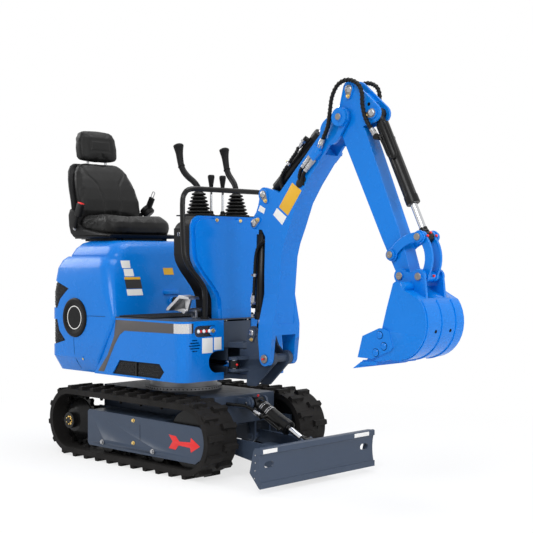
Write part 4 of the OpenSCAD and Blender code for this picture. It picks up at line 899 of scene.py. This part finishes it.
# hood's leaning front: blank plates, a fuel knob and its bracket
panel = {"foot": 119.4, "lean": 0.313}
panelPlates = {
    "first": {"y": (-251, -200), "z": (951, 989), "finish": plateWhite},
    "second": {"y": (-245, -187), "z": (910, 947), "finish": plateWhite},
    "dark": {"y": (-250, -150), "z": (849, 893), "finish": plateDark},
    "band": {"y": (-250, -150), "z": (894, 906), "finish": plateYellow},
    "third": {"y": (-251, -153), "z": (815, 846), "finish": plateWhite},
    "yellow": {"y": (12, 77), "z": (915, 950), "finish": plateYellow},
}
panelOut = Vector((1, 0, panel["lean"])).normalized()


def onPanel(y, z):
    up = Vector((-panel["lean"], 0, 1)).normalized()
    matrix = Matrix((Vector(leftward), up, panelOut)).transposed().to_4x4()
    return Matrix.Translation((panel["foot"] - panel["lean"] * z, y, z)) @ matrix


# a thin plate that follows a surface seen from the front
def addPatch(bm, tree, y, z, thick=1.2, count=6):
    layers = []
    for lift in (0.1, thick):
        grid = []
        for i in range(count + 1):
            for j in range(count + 1):
                start = Vector((600, y[0] + (y[1] - y[0]) * i / count, z[0] + (z[1] - z[0]) * j / count))
                place, normal, _, _ = tree.ray_cast(start, Vector((-1, 0, 0)))
                grid.append(bm.verts.new(place + normal * lift))
        layers.append(grid)
    side = count + 1
    for i in range(count):
        for j in range(count):
            for grid in layers:
                k = i * side + j
                bm.faces.new((grid[k], grid[k + side], grid[k + side + 1], grid[k + 1]))
    rim = ([i * side for i in range(side)] + [count * side + j for j in range(1, side)]
           + [i * side + count for i in range(count - 1, -1, -1)] + list(range(count - 1, 0, -1)))
    low, high = layers
    for p, q in zip(rim, rim[1:] + rim[:1]):
        bm.faces.new((low[p], low[q], high[q], high[p]))


for label, row in panelPlates.items():
    bm = bmesh.new()
    addPatch(bm, hoodSurface, row["y"], row["z"])
    keepPiece("hoodPlate" + label.title(), bm, row["finish"], "house")
bm = bmesh.new()
addSlab(bm, eggOutline((-40, 0), 12, (40, 0), 11.9), 7, onPanel(32, 824), 2)
addLathe(bm, [(0, 0), (22, 0), (22, 4), (20, 6), (0, 6)], onPanel(33, 779).translation, panelOut, 28)
keepPiece("hoodBracket", bm, bluePaint, "house")
bm = bmesh.new()
knobAt = onPanel(33, 779).translation + panelOut * 6
addLathe(bm, [(0, 0), (11, 0), (11, 8), (17, 11), (18, 16), (17, 24), (13, 28), (0, 29)], knobAt, panelOut,
         28)
keepPiece("hoodKnob", bm, blackPlastic, "house")
print("house side dressed")

# house front: lamps, blank plates and bolts
lampBar = {"face": 387, "lens": 391, "z": 661, "lenses": (-252, -218, -184), "marks": (-235, -201),
           "bolt": -158}
bm = bmesh.new()
for y in lampBar["lenses"]:
    addLathe(bm, [(0, -1), (9, -1), (9, 1), (8, 4), (5, 6.4), (0, 7.4)], (lampBar["lens"], y, lampBar["z"]),
             forward, 20)
keepPiece("lampLenses", bm, lampGlass, "house")
bm = bmesh.new()
for y in lampBar["marks"]:
    addSlab(bm, box2d(-5, -6, 5, 6), 6, frontSide(lampBar["face"], y, lampBar["z"]), 1)
keepPiece("lampMarks", bm, redCap, "house")
bm = bmesh.new()
cupAt = (lampBar["face"], lampBar["bolt"], lampBar["z"])
addLathe(bm, [(0, 0), (24, 0), (24, 2), (21, 3.4), (14, 1.6), (0, 1.6)], cupAt, forward, 28)
keepPiece("lampCup", bm, bluePaint, "house")
bm = bmesh.new()
addHexBolt(bm, (lampBar["face"] + 1.6, lampBar["bolt"], lampBar["z"]), forward, 14, 6)
keepPiece("lampBolt", bm, goldZinc, "house")
bm = bmesh.new()
for y in (-72, 72):
    addHexBolt(bm, (381, y, 706), forward, 8, 5)
keepPiece("frontBolts", bm, brightSteel, "house")
frontPlates = [box2d(-230, 558, -164, 629), box2d(-155, 570, -108, 629)]
bm = bmesh.new()
for outline in frontPlates:
    addSlab(bm, outline, 0.9, frontSide(393), 0.4)
keepPiece("frontPlates", bm, plateWhite, "house")

# console: cover bolts in cups, and a key switch
coverBolt = {"x": 350, "y": (-97, 58), "z": 1182, "way": (1, 0, 0.08)}
cup = [(7, 0), (15, 0), (14, 1.6), (12, 2.2), (9, 0.8), (7, 0)]
bm = bmesh.new()
for y in coverBolt["y"]:
    addLathe(bm, cup, (coverBolt["x"] - 0.4, y, coverBolt["z"]), coverBolt["way"], 24)
keepPiece("consoleCups", bm, bluePaint, "house")
bm = bmesh.new()
for y in coverBolt["y"]:
    addHexBolt(bm, (coverBolt["x"], y, coverBolt["z"]), coverBolt["way"], 12, 5)
keepPiece("consoleBolts", bm, goldZinc, "house")
key = {"x": 235, "z": 1115, "cup": -227, "barrel": -232, "blade": -236}
bm = bmesh.new()
addLathe(bm, [(0, 0), (17, 0), (17, 3), (15, 5), (0, 5)], (key["x"], key["cup"], key["z"]), rightward, 24)
keepPiece("keyCup", bm, blackPlastic, "house")
bm = bmesh.new()
addLathe(bm, [(0, 0), (10, 0), (10, 4), (8.5, 6), (0, 6)], (key["x"], key["barrel"], key["z"]), rightward, 20)
addSlab(bm, box2d(-1.6, -8, 1.6, 8), 8, rightSide(key["blade"], key["x"], key["z"]), 0.6)
keepPiece("keySwitch", bm, brightSteel, "house")

# joystick boots: bulging ribs; knobs and nuts of the short levers
boot = {"at": (252, 124, 1208), "ribs": 6, "pitch": 17, "low": 57, "step": 4.8, "waist": 10}
profile = [(0, 0), (66, 0), (66, 5), (60, 7)]
for k in range(boot["ribs"]):
    rim, low = boot["low"] - boot["step"] * k, 8 + boot["pitch"] * k
    profile += [(rim - boot["waist"], low), (rim - 1, low + 3), (rim + 2, low + 7), (rim, low + 11),
                (rim - boot["waist"], low + 15)]
profile += [(22, 110), (16, 117), (0, 118)]
bm = bmesh.new()
addLathe(bm, profile, boot["at"], upward, 40)
addBothSides(bm)
keepPiece("joystickBoots", bm, bootRubber, "house", 60)
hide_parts("lever_boots")
bm = bmesh.new()
addLathe(bm, [(5.5, -1), (9.8, -1), (10.8, 8), (16.8, 46), (15.8, 54.6), (11.6, 57.8), (0, 58.8)],
         (246, 38, 1348), upward, 28)
addLathe(bm, [(5.5, 0), (17, 0), (17, 5), (12, 9), (11, 20), (6.4, 24)], (246, 38, 1208), upward, 24)
addBothSides(bm)
keepPiece("leverKnobs", bm, blackPlastic, "house")

# joysticks: one smooth lever each, thicker at the grip
lever = [(252, 124, 1312, 14), (251, 124, 1330, 14), (244, 128, 1349, 14), (226, 136, 1371, 14.5),
         (198, 145, 1394, 15), (172, 149, 1420, 15), (157, 151, 1446, 15), (149, 152, 1476, 16),
         (143, 152, 1508, 18), (138, 152, 1532, 22.5), (136, 152, 1545, 25.5), (135, 152, 1551, 23),
         (134, 152, 1555, 14)]


def addSweep(bm, rows, steps=20):
    places = [Vector(row[:3]) for row in rows]
    rings = []
    for i, row in enumerate(rows):
        along = (places[min(i + 1, len(rows) - 1)] - places[max(i - 1, 0)]).normalized()
        across = along.cross(Vector(leftward)).normalized()
        up = across.cross(along)
        turns = [2 * math.pi * k / steps for k in range(steps)]
        ring = [bm.verts.new(places[i] + row[3] * (across * math.cos(a) + up * math.sin(a))) for a in turns]
        rings.append(ring)
    for low, high in zip(rings, rings[1:]):
        for k in range(steps):
            bm.faces.new((low[k], low[(k + 1) % steps], high[(k + 1) % steps], high[k]))
    bm.faces.new(list(reversed(rings[0])))
    bm.faces.new(rings[-1])


bm = bmesh.new()
smooth = [Vector(row) for row in lever]
addSweep(bm, smoothRoute(smooth, 3))
addLathe(bm, [(15.5, -3), (17.5, -2), (17.5, 2), (15.5, 3), (15.5, -3)], (157, 151, 1446),
         (-0.5, 0.03, 0.86), 24)
addBothSides(bm)
keepPiece("joystickLevers", bm, blackPlastic, "house", 50)
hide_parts("joysticks")

# floor mat: diamond studs
studs = {"x": (-86, 176), "y": 326, "pitch": 15, "top": 722}
bm = bmesh.new()
rows = int((studs["x"][1] - studs["x"][0]) / studs["pitch"])
columns = int(2 * studs["y"] / studs["pitch"])
for i in range(rows + 1):
    for j in range(columns + 1):
        x = studs["x"][0] + studs["pitch"] * i
        y = -studs["y"] + studs["pitch"] * (j + 0.5 * (i % 2))
        if abs(y) < studs["y"]:
            addLathe(bm, [(5.6, -0.4), (3.2, 1.6), (0, 1.6)], (x, y, studs["top"]), upward, 4)
keepPiece("matStuds", bm, matRubber, "house", 20)

# console's sides: the cover's own surface behind its front, lifted a little and black
consoleSide = {"front": 330, "lift": 1.2}
part = bmesh.new()
part.from_mesh(frame["nodes"]["console_cover"].data)
bmesh.ops.remove_doubles(part, verts=part.verts, dist=nodeWeld)
bmesh.ops.scale(part, vec=toMillimetres, verts=part.verts)
bmesh.ops.bisect_plane(part, geom=part.verts[:] + part.edges[:] + part.faces[:],
                       plane_co=(consoleSide["front"], 0, 0), plane_no=(1, 0, 0), clear_outer=True)
inner = [f for f in part.faces if abs(f.normal.x) > 0.5 or f.normal.y * f.calc_center_median().y < 0]
bmesh.ops.delete(part, geom=inner, context="FACES")
part.normal_update()
for vert in part.verts:
    vert.co += vert.normal * consoleSide["lift"]
keepPiece("consoleSides", part, blackPlastic, "house", 50)
print("house front dressed")

# undercarriage: arrows, bolts, nuts on the hubs, and black dots round the slew ring that are painted shade in
# its holes
guard = {
    "face": 375, "boltX": 66, "boltZ": (228, 121), "seamX": 115, "seamZ": (138, 214),
    "arrow": [(325, 191), (375, 188), (398, 166), (475, 171), (479, 192), (539, 159), (479, 125), (473, 146),
              (394, 148), (373, 126), (325, 128), (352, 162)],
}
bm = bmesh.new()
addSlab(bm, guard["arrow"], 0.8, rightSide(-guard["face"]), 0.3)
addBothSides(bm)
keepPiece("trackArrow", bm, redCap, "undercarriage")
bm = bmesh.new()
for z in guard["boltZ"]:
    addHexBolt(bm, (guard["boltX"], -guard["face"], z), rightward, 13, 6)
addBothSides(bm)
keepPiece("guardBolts", bm, goldZinc, "undercarriage")
rollerBolt = {"x": (-170, 216), "y": -381, "z": 99.4}
bm = bmesh.new()
for x in rollerBolt["x"]:
    addHexBolt(bm, (x, rollerBolt["y"], rollerBolt["z"]), rightward, 17, 7)
addBothSides(bm)
keepPiece("rollerBolts", bm, brightSteel, "undercarriage")
bm = bmesh.new()
addTube(bm, [(guard["seamX"], -guard["face"], z) for z in guard["seamZ"]], 1.0, 8, 1)
addBothSides(bm)
keepPiece("guardSeam", bm, darkHole, "undercarriage")
hub = {"x": -445, "z": 178, "from": 373, "across": 46, "height": 9, "teeth": 6, "ring": 18}
bm = bmesh.new()
addHexBolt(bm, (hub["x"], -hub["from"], hub["z"]), rightward, hub["across"], hub["height"], False)
for k in range(hub["teeth"]):
    angle = math.radians(360 / hub["teeth"] * k + 30)
    place = (hub["x"] + hub["ring"] * math.cos(angle), -hub["from"] - hub["height"] + 1,
             hub["z"] + hub["ring"] * math.sin(angle))
    addLathe(bm, [(0, 0), (4.4, 0), (4.4, 6), (3.4, 7), (0, 7)], place, rightward, 10)
addBothSides(bm)
keepPiece("hubNuts", bm, goldZinc, "undercarriage")
# black dots: painted shade in the holes round the slew ring's flange
slewDots = {"count": 60, "radius": 190, "z": 360}
bm = bmesh.new()
for k in range(slewDots["count"]):
    angle = 2 * math.pi * k / slewDots["count"]
    way = Vector((math.cos(angle), math.sin(angle), 0))
    place = way * slewDots["radius"] + Vector((0, 0, slewDots["z"]))
    addLathe(bm, [(0, -0.5), (3.6, -0.5), (3.4, 1), (0, 1.4)], place, way, 8)
keepPiece("slewBolts", bm, blackPaint, "undercarriage")
bm = bmesh.new()
addHexBolt(bm, (511, -53, 320), rightward, 15, 7)
keepPiece("bladeLugBolt", bm, brightSteel, "undercarriage")

# blade: blank plates on its lip, dots on its ends
bm = bmesh.new()
for y0, y1 in ((-366, -280), (231, 336)):
    addSlab(bm, box2d(y0, 173, y1, 191), 0.8, frontSide(928), 0.3)
keepPiece("bladePlates", bm, plateWhite, "blade")
bm = bmesh.new()
for x, z in ((895, 166), (895, 134), (893, 100), (890, 67)):
    addHexBolt(bm, (x, -378, z), rightward, 6, 2, False)
addBothSides(bm)
keepPiece("bladeDots", bm, brightSteel, "blade")

# bucket: beads round the shell, drains, cutter bolts and teeth
shell = {"centre": (1446, 742), "radius": 155, "beads": (-117, -20, 76), "width": 9, "height": 5,
         "first": -88, "last": 36}
bm = bmesh.new()
for y in shell["beads"]:
    angle = math.radians(shell["first"])
    ring = []
    for r, dy in ((-0.6, -0.5), (0.6, -0.5), (1, -0.3), (1, 0.3), (0.6, 0.5), (-0.6, 0.5)):
        radius = shell["radius"] + r * shell["height"] * 0.8
        ring.append(bm.verts.new((shell["centre"][0] + radius * math.cos(angle), y + dy * shell["width"],
                                  shell["centre"][1] + radius * math.sin(angle))))
    centre = (shell["centre"][0], 0, shell["centre"][1])
    bmesh.ops.spin(bm, geom=[bm.faces.new(ring)], cent=centre, axis=rightward,
                   angle=math.radians(shell["last"] - shell["first"]), steps=26)
keepPiece("bucketBeads", bm, bluePaint, "bucket", 40)
# the drain holes are dark discs: painted shade inside the holes
drain = {"y": (-60, 39), "way": Vector((154, 0, -34)).normalized()}
bm = bmesh.new()
for y in drain["y"]:
    place = Vector((shell["centre"][0], y, shell["centre"][1])) + drain["way"] * shell["radius"]
    addLathe(bm, [(0, -0.5), (7.5, -0.5), (7, 0.7), (0, 0.7)], place, drain["way"], 16)
keepPiece("bucketDrains", bm, darkHole, "bucket")
cutter = {"places": ((1375, 688), (1397, 643), (1355, 615)), "y": -141}
bm = bmesh.new()
for x, z in cutter["places"]:
    addLathe(bm, [(0, 0), (15, 0), (15, 3), (11, 6), (10, 4.5), (0, 4.5)], (x, cutter["y"], z), rightward, 24)
addBothSides(bm)
keepPiece("cutterBolts", bm, bluePaint, "bucket")
# a dark ring round each cutter bolt: painted shade in its groove
bm = bmesh.new()
for x, z in cutter["places"]:
    addLathe(bm, [(14.6, 0), (17, 0), (17, 0.8), (14.6, 0.8), (14.6, 0)], (x, cutter["y"], z), rightward, 24)
addBothSides(bm)
keepPiece("cutterRings", bm, darkHole, "bucket")
tooth = {"outline": [(1224, 541), (1300, 553), (1300, 576), (1262, 567)], "places": (-104, 0, 104),
         "half": 29}
bm = bmesh.new()
for y in tooth["places"]:
    addSlab(bm, tooth["outline"], 2 * tooth["half"], rightSide(y + tooth["half"]), 1)
keepPiece("bucketTeeth", bm, bluePaint, "bucket")
print("undercarriage, blade and bucket dressed")

# seat: pads puffed by a cloth simulation over a moulded shell
seat = {"voxel": 0.006, "frames": 20, "pressure": 4, "lean": 14}
# height, front x, depth and half width of the back, from its foot to its top
backRows = [(1206, -594, 40, 190), (1216, -590, 56, 198), (1250, -583, 62, 207), (1310, -592, 62, 209),
            (1375, -617, 60, 203), (1420, -638, 58, 193), (1468, -664, 54, 174), (1500, -684, 46, 146),
            (1514, -696, 36, 118), (1519, -704, 20, 92)]
headRows = [(1531, -700, 36, 92), (1536, -692, 58, 112), (1550, -686, 74, 122), (1600, -690, 78, 124),
            (1655, -700, 74, 118), (1682, -710, 62, 104), (1692, -718, 44, 86)]
cushionRows = [(1124, -318, 300, 196), (1130, -306, 330, 212), (1160, -300, 340, 219), (1188, -306, 334, 217),
               (1200, -320, 318, 208), (1206, -344, 290, 190)]


# a soft form through level rows of height, front x, depth and half width, moved back by a distance
def loftRows(rows, back=0, steps=40, power=5):
    part = bmesh.new()
    rings = []
    for z, front, depth, half in rows:
        ring = []
        for k in range(steps):
            c, s = math.cos(2 * math.pi * k / steps), math.sin(2 * math.pi * k / steps)
            x = front - back - depth / 2 + depth / 2 * math.copysign(abs(c) ** (2 / power), c)
            y = half * math.copysign(abs(s) ** (2 / power), s)
            ring.append(part.verts.new((x, y, z)))
        rings.append(ring)
    for low, high in zip(rings, rings[1:]):
        for k in range(steps):
            part.faces.new((low[k], low[(k + 1) % steps], high[(k + 1) % steps], high[k]))
    part.faces.new(list(reversed(rings[0])))
    part.faces.new(rings[-1])
    return part


def roundBox(x, y, z, radius, steps=4):
    part = bmesh.new()
    bmesh.ops.create_cube(part, size=1)
    for vert in part.verts:
        spans = zip(vert.co, (x, y, z))
        vert.co = Vector([low + (value + 0.5) * (high - low) for value, (low, high) in spans])
    bmesh.ops.bevel(part, geom=part.edges[:], offset=radius, affect="EDGES", segments=steps, profile=0.5,
                    material=-1)
    return part


def puffed(name, part, cap):
    bmesh.ops.scale(part, vec=toMetres, verts=part.verts)
    mesh = bpy.data.meshes.new(name)
    part.to_mesh(mesh)
    part.free()
    holder = bpy.data.objects.new(name + "Start", mesh)
    scene.collection.objects.link(holder)
    voxels = holder.modifiers.new("voxels", "REMESH")
    voxels.mode = "VOXEL"
    voxels.voxel_size = seat["voxel"]
    mesh = bpy.data.meshes.new_from_object(holder.evaluated_get(bpy.context.evaluated_depsgraph_get()))
    bpy.data.objects.remove(holder)
    mesh.name = name
    piece = bpy.data.objects.new(name, mesh)
    scene.collection.objects.link(piece)
    home = [v.co.copy() for v in mesh.vertices]
    cloth = piece.modifiers.new("cloth", "CLOTH")
    cloth.settings.use_pressure = True
    cloth.settings.uniform_pressure_force = seat["pressure"]
    cloth.settings.effector_weights.gravity = 0
    cloth.point_cache.frame_start = 1
    cloth.point_cache.frame_end = seat["frames"]
    for number in range(1, seat["frames"] + 1):
        scene.frame_set(number)
    swollen = bpy.data.meshes.new_from_object(piece.evaluated_get(bpy.context.evaluated_depsgraph_get()))
    piece.modifiers.remove(cloth)
    scene.frame_set(1)
    for vertex, start in zip(swollen.vertices, home):
        move = vertex.co - start
        vertex.co = start + move * min(1, cap / 1000 / max(move.length, 1e-9))
    piece.data = swollen
    return piece


# presses a groove along lines, each a list of points, into the side that faces a direction
def pressSeams(piece, lines, facing, depth, width):
    mesh = piece.data
    facing = Vector(facing)
    for vertex in mesh.vertices:
        if vertex.normal.dot(facing) < 0.25:
            continue
        near = math.inf
        place = vertex.co * 1000
        for line in lines:
            for p, q in zip(line, line[1:]):
                span = q - p
                t = max(0, min(1, (place - p).dot(span) / span.length_squared))
                off = place - p - span * t
                near = min(near, (off - facing * off.dot(facing)).length)
        if near < 3 * width:
            vertex.co -= facing * depth / 1000 * math.exp(-(near / width) ** 2)


def keepPad(piece, node):
    piece.data.polygons.foreach_set("use_smooth", [True] * len(piece.data.polygons))
    piece.data.materials.clear()
    piece.data.materials.append(seatLeather)
    smooth = piece.modifiers.new("smooth", "SUBSURF")
    smooth.levels = 1
    smooth.render_levels = 1
    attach(piece, "house")
    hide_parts(node)


cushionLines = [[Vector((x, y, z)) for x, z in ((-310, 1190), (-330, 1206), (-380, 1212), (-420, 1212))]
                for y in (-78, 78)]
part = loftRows(cushionRows)
for vert in part.verts:
    if vert.co.z > 1180:
        rise = min(1, max(0, (abs(vert.co.y) - 90) / 90))
        vert.co.z += 12 * rise * min(1, max(0, (-340 - vert.co.x) / 60))
cushion = puffed("seatCushion", part, 12)
pressSeams(cushion, cushionLines, (0, 0, 1), 4, 5)
keepPad(cushion, "seat_cushion")

backFacing = Vector((math.cos(math.radians(seat["lean"])), 0, math.sin(math.radians(seat["lean"]))))
backSeam = [(140, 1508), (118, 1446), (72, 1394), (58, 1324), (50, 1240)]
backLines = [[Vector((-600 - 0.25 * (z - 1216), side * y, z)) for y, z in backSeam] for side in (-1, 1)]
back = puffed("seatBack", loftRows(backRows), 8)
pressSeams(back, backLines, backFacing, 4.5, 5)
keepPad(back, "seat_back")

headLines = []
for grow in (0, 7):
    corners = [(-64 - grow, 1586 - grow), (64 + grow, 1586 - grow), (64 + grow, 1640 + grow),
               (-64 - grow, 1640 + grow)]
    points = [Vector((-690, y, z)) for y, z in corners]
    headLines.append(points + points[:1])
head = puffed("headrest", loftRows(headRows), 7)
pressSeams(head, headLines, backFacing, 3, 3.6)
keepPad(head, "headrest")
print("seat pads made")

# one moulded shell under the cushion and behind the back, thread along the seams, rods of the headrest
shellSide = [(-316, 1104), (-308, 1110), (-304, 1122), (-420, 1134), (-540, 1156), (-592, 1180), (-602, 1250),
             (-660, 1262), (-674, 1230), (-668, 1170), (-654, 1132), (-626, 1110), (-596, 1104)]
bm = bmesh.new()
addSlab(bm, shellSide, 458, rightSide(229))
bmesh.ops.bevel(bm, geom=[e for e in bm.edges if abs(e.verts[0].co.y - e.verts[1].co.y) < 1], offset=12,
                affect="EDGES", segments=3, profile=0.5, material=-1)
joinInto(bm, loftRows([(z, front, 34, half + 9) for z, front, _, half in backRows[1:-1]], 48), Matrix())
joinInto(bm, roundBox((-650, -322), (-130, 130), (1091, 1106), 3), Matrix())
keepPiece("seatShell", bm, blackPlastic, "house", 50)
bm = bmesh.new()
for side in (-1, 1):
    addTube(bm, [(-716, side * 60, 1480), (-724, side * 60, 1520), (-730, side * 60, 1570)], 7, 12)
keepPiece("headrestRods", bm, brightSteel, "house")

stitch = {"pitch": 7, "lift": 0.4}


def addThread(bm, piece, lines, facing):
    tree = surfaceOf(piece.data)
    facing = Vector(facing)
    for line in lines:
        for p, q in zip(line, line[1:]):
            span = q - p
            way = span.normalized()
            for k in range(max(1, int(span.length / stitch["pitch"]))):
                at = p + way * (stitch["pitch"] * (k + 0.5))
                hit = tree.ray_cast(at + facing * 80, -facing)[0]
                if hit is not None:
                    place = hit + facing * stitch["lift"]
                    addLathe(bm, [(0, -2.2), (0.7, -1.8), (0.7, 1.8), (0, 2.2)], place, way, 6)


bm = bmesh.new()
addThread(bm, back, backLines, backFacing)
addThread(bm, cushion, cushionLines, (0, 0, 1))
keepPiece("seatThread", bm, stitchThread, "house")

# belt: buckle on a stalk at the right, retractor, boot and tongue at the left
belt = {"bolt": (-604, -231, 1157), "stalk": [(-598, -236, 1158), (-588, -238, 1190), (-574, -236, 1226)],
        "buckle": (-562, -232, 1254), "way": (0.30, 0.06, 0.95), "drum": (-590, 246, 1262),
        "turn": (0.5, 0.35, -0.7), "boot": (-560, 246, 1312), "bootWay": (0.42, 0.1, 0.9),
        "tongue": (-545, 247, 1344)}
bm = bmesh.new()
addTube(bm, belt["stalk"], 9, 12)
joinInto(bm, roundBox((-24, 20), (-12, 12), (-36, 34), 6), turned(belt["way"], belt["buckle"]))
addLathe(bm, [(0, -26), (28, -26), (33, -22), (34, -6), (31, -3), (34, 0), (34, 20), (28, 26), (0, 26)],
         belt["drum"], belt["turn"], 32)
joinInto(bm, roundBox((-18, 18), (-10, 10), (-34, 26), 6), turned(belt["bootWay"], belt["boot"]))
keepPiece("seatBelt", bm, blackPlastic, "house")
bm = bmesh.new()
joinInto(bm, roundBox((-20, 16), (-10, 10), (32, 38), 2), turned(belt["way"], belt["buckle"]))
keepPiece("beltButton", bm, redCap, "house")
bm = bmesh.new()
addHexBolt(bm, belt["bolt"], rightward, 15, 6)
loop = [(-9, -12), (9, -12), (10, 0), (9, 22), (0, 25), (-9, 22), (-10, 0), (-9, -12)]
addTube(bm, [turned(belt["bootWay"], belt["tongue"]) @ Vector((x, 0, z)) for x, z in loop], 2.6, 8, 1)
keepPiece("beltMetal", bm, brightSteel, "house")
print("seat made")

# CAD nodes: finishes, and softened outer edges on the large rigid ones
finish = {
    "paint_blue": bluePaint, "paint_slate": slatePaint, "paint_black": blackPaint,
    "rubber_black": trackRubber, "plastic_black": blackPlastic, "chrome": chromeRod,
    "leather_black": seatLeather,
}
ownFinish = {"pedal": castAluminium, "floor_mat": matRubber, "sprockets": blackPaint, "idlers": blackPaint,
             "rollers": blackPaint, "front_lamps": lampSteel, "slew_ring": ringSteel}
nodeSlot = {row["node"]: row["material_slot"] for row in frame["record"]["subparts"]}
nodeBody = {node: body for body, nodes in frame["record"]["behaviour"]["bodies"].items() for node in nodes}
softEdge = {
    "chassis": 2, "blade": 2, "blade_frame": 2, "turntable": 2, "track_frames": 2,
    "console_cover": 4, "console_body": 3, "swing_bracket": 2.5, "boom": 6, "arm": 6, "rocker": 3,
    "bucket_link": 2, "bucket": 1.5, "hood": 3, "seat_base": 3, "floor_mat": 2, "pedal": 2, "boom_barrel": 1,
    "arm_barrel": 1, "bucket_barrel": 1, "blade_barrel": 1,
}
softNodes = {"joysticks", "lever_boots", "seat_cushion", "seat_back", "headrest", "hose_right", "hose_left",
             "boom_hose", "arm_hose", "blade_hose"}
dressing = {"flat": 0.6, "corner": 34, "sharp": 32, "segments": 3}


def dressNode(node, width):
    bm = bmesh.new()
    bm.from_mesh(frame["nodes"][node].data)
    bmesh.ops.remove_doubles(bm, verts=bm.verts, dist=nodeWeld)
    bmesh.ops.dissolve_limit(bm, angle_limit=math.radians(dressing["flat"]), verts=bm.verts, edges=bm.edges)
    bmesh.ops.scale(bm, vec=toMillimetres, verts=bm.verts)
    weight = bm.edges.layers.float.new("bevel_weight_edge")
    for edge in bm.edges:
        if len(edge.link_faces) == 2 and edge.calc_face_angle_signed() > math.radians(dressing["corner"]):
            edge[weight] = 1.0
    name = "dressed" + node.title().replace("_", "")
    material = ownFinish.get(node, finish[nodeSlot[node]])
    piece = keepPiece(name, bm, material, nodeBody[node], sharp=dressing["sharp"])
    soften = piece.modifiers.new("edges", "BEVEL")
    soften.limit_method = "WEIGHT"
    soften.width = width / 1000
    soften.segments = dressing["segments"]
    soften.profile = 0.5
    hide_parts(node)


for node, holder in frame["nodes"].items():
    if node in softEdge:
        dressNode(node, softEdge[node])
    elif node not in softNodes:
        holder.data.materials.clear()
        holder.data.materials.append(ownFinish.get(node, finish[nodeSlot[node]]))
print("nodes dressed")
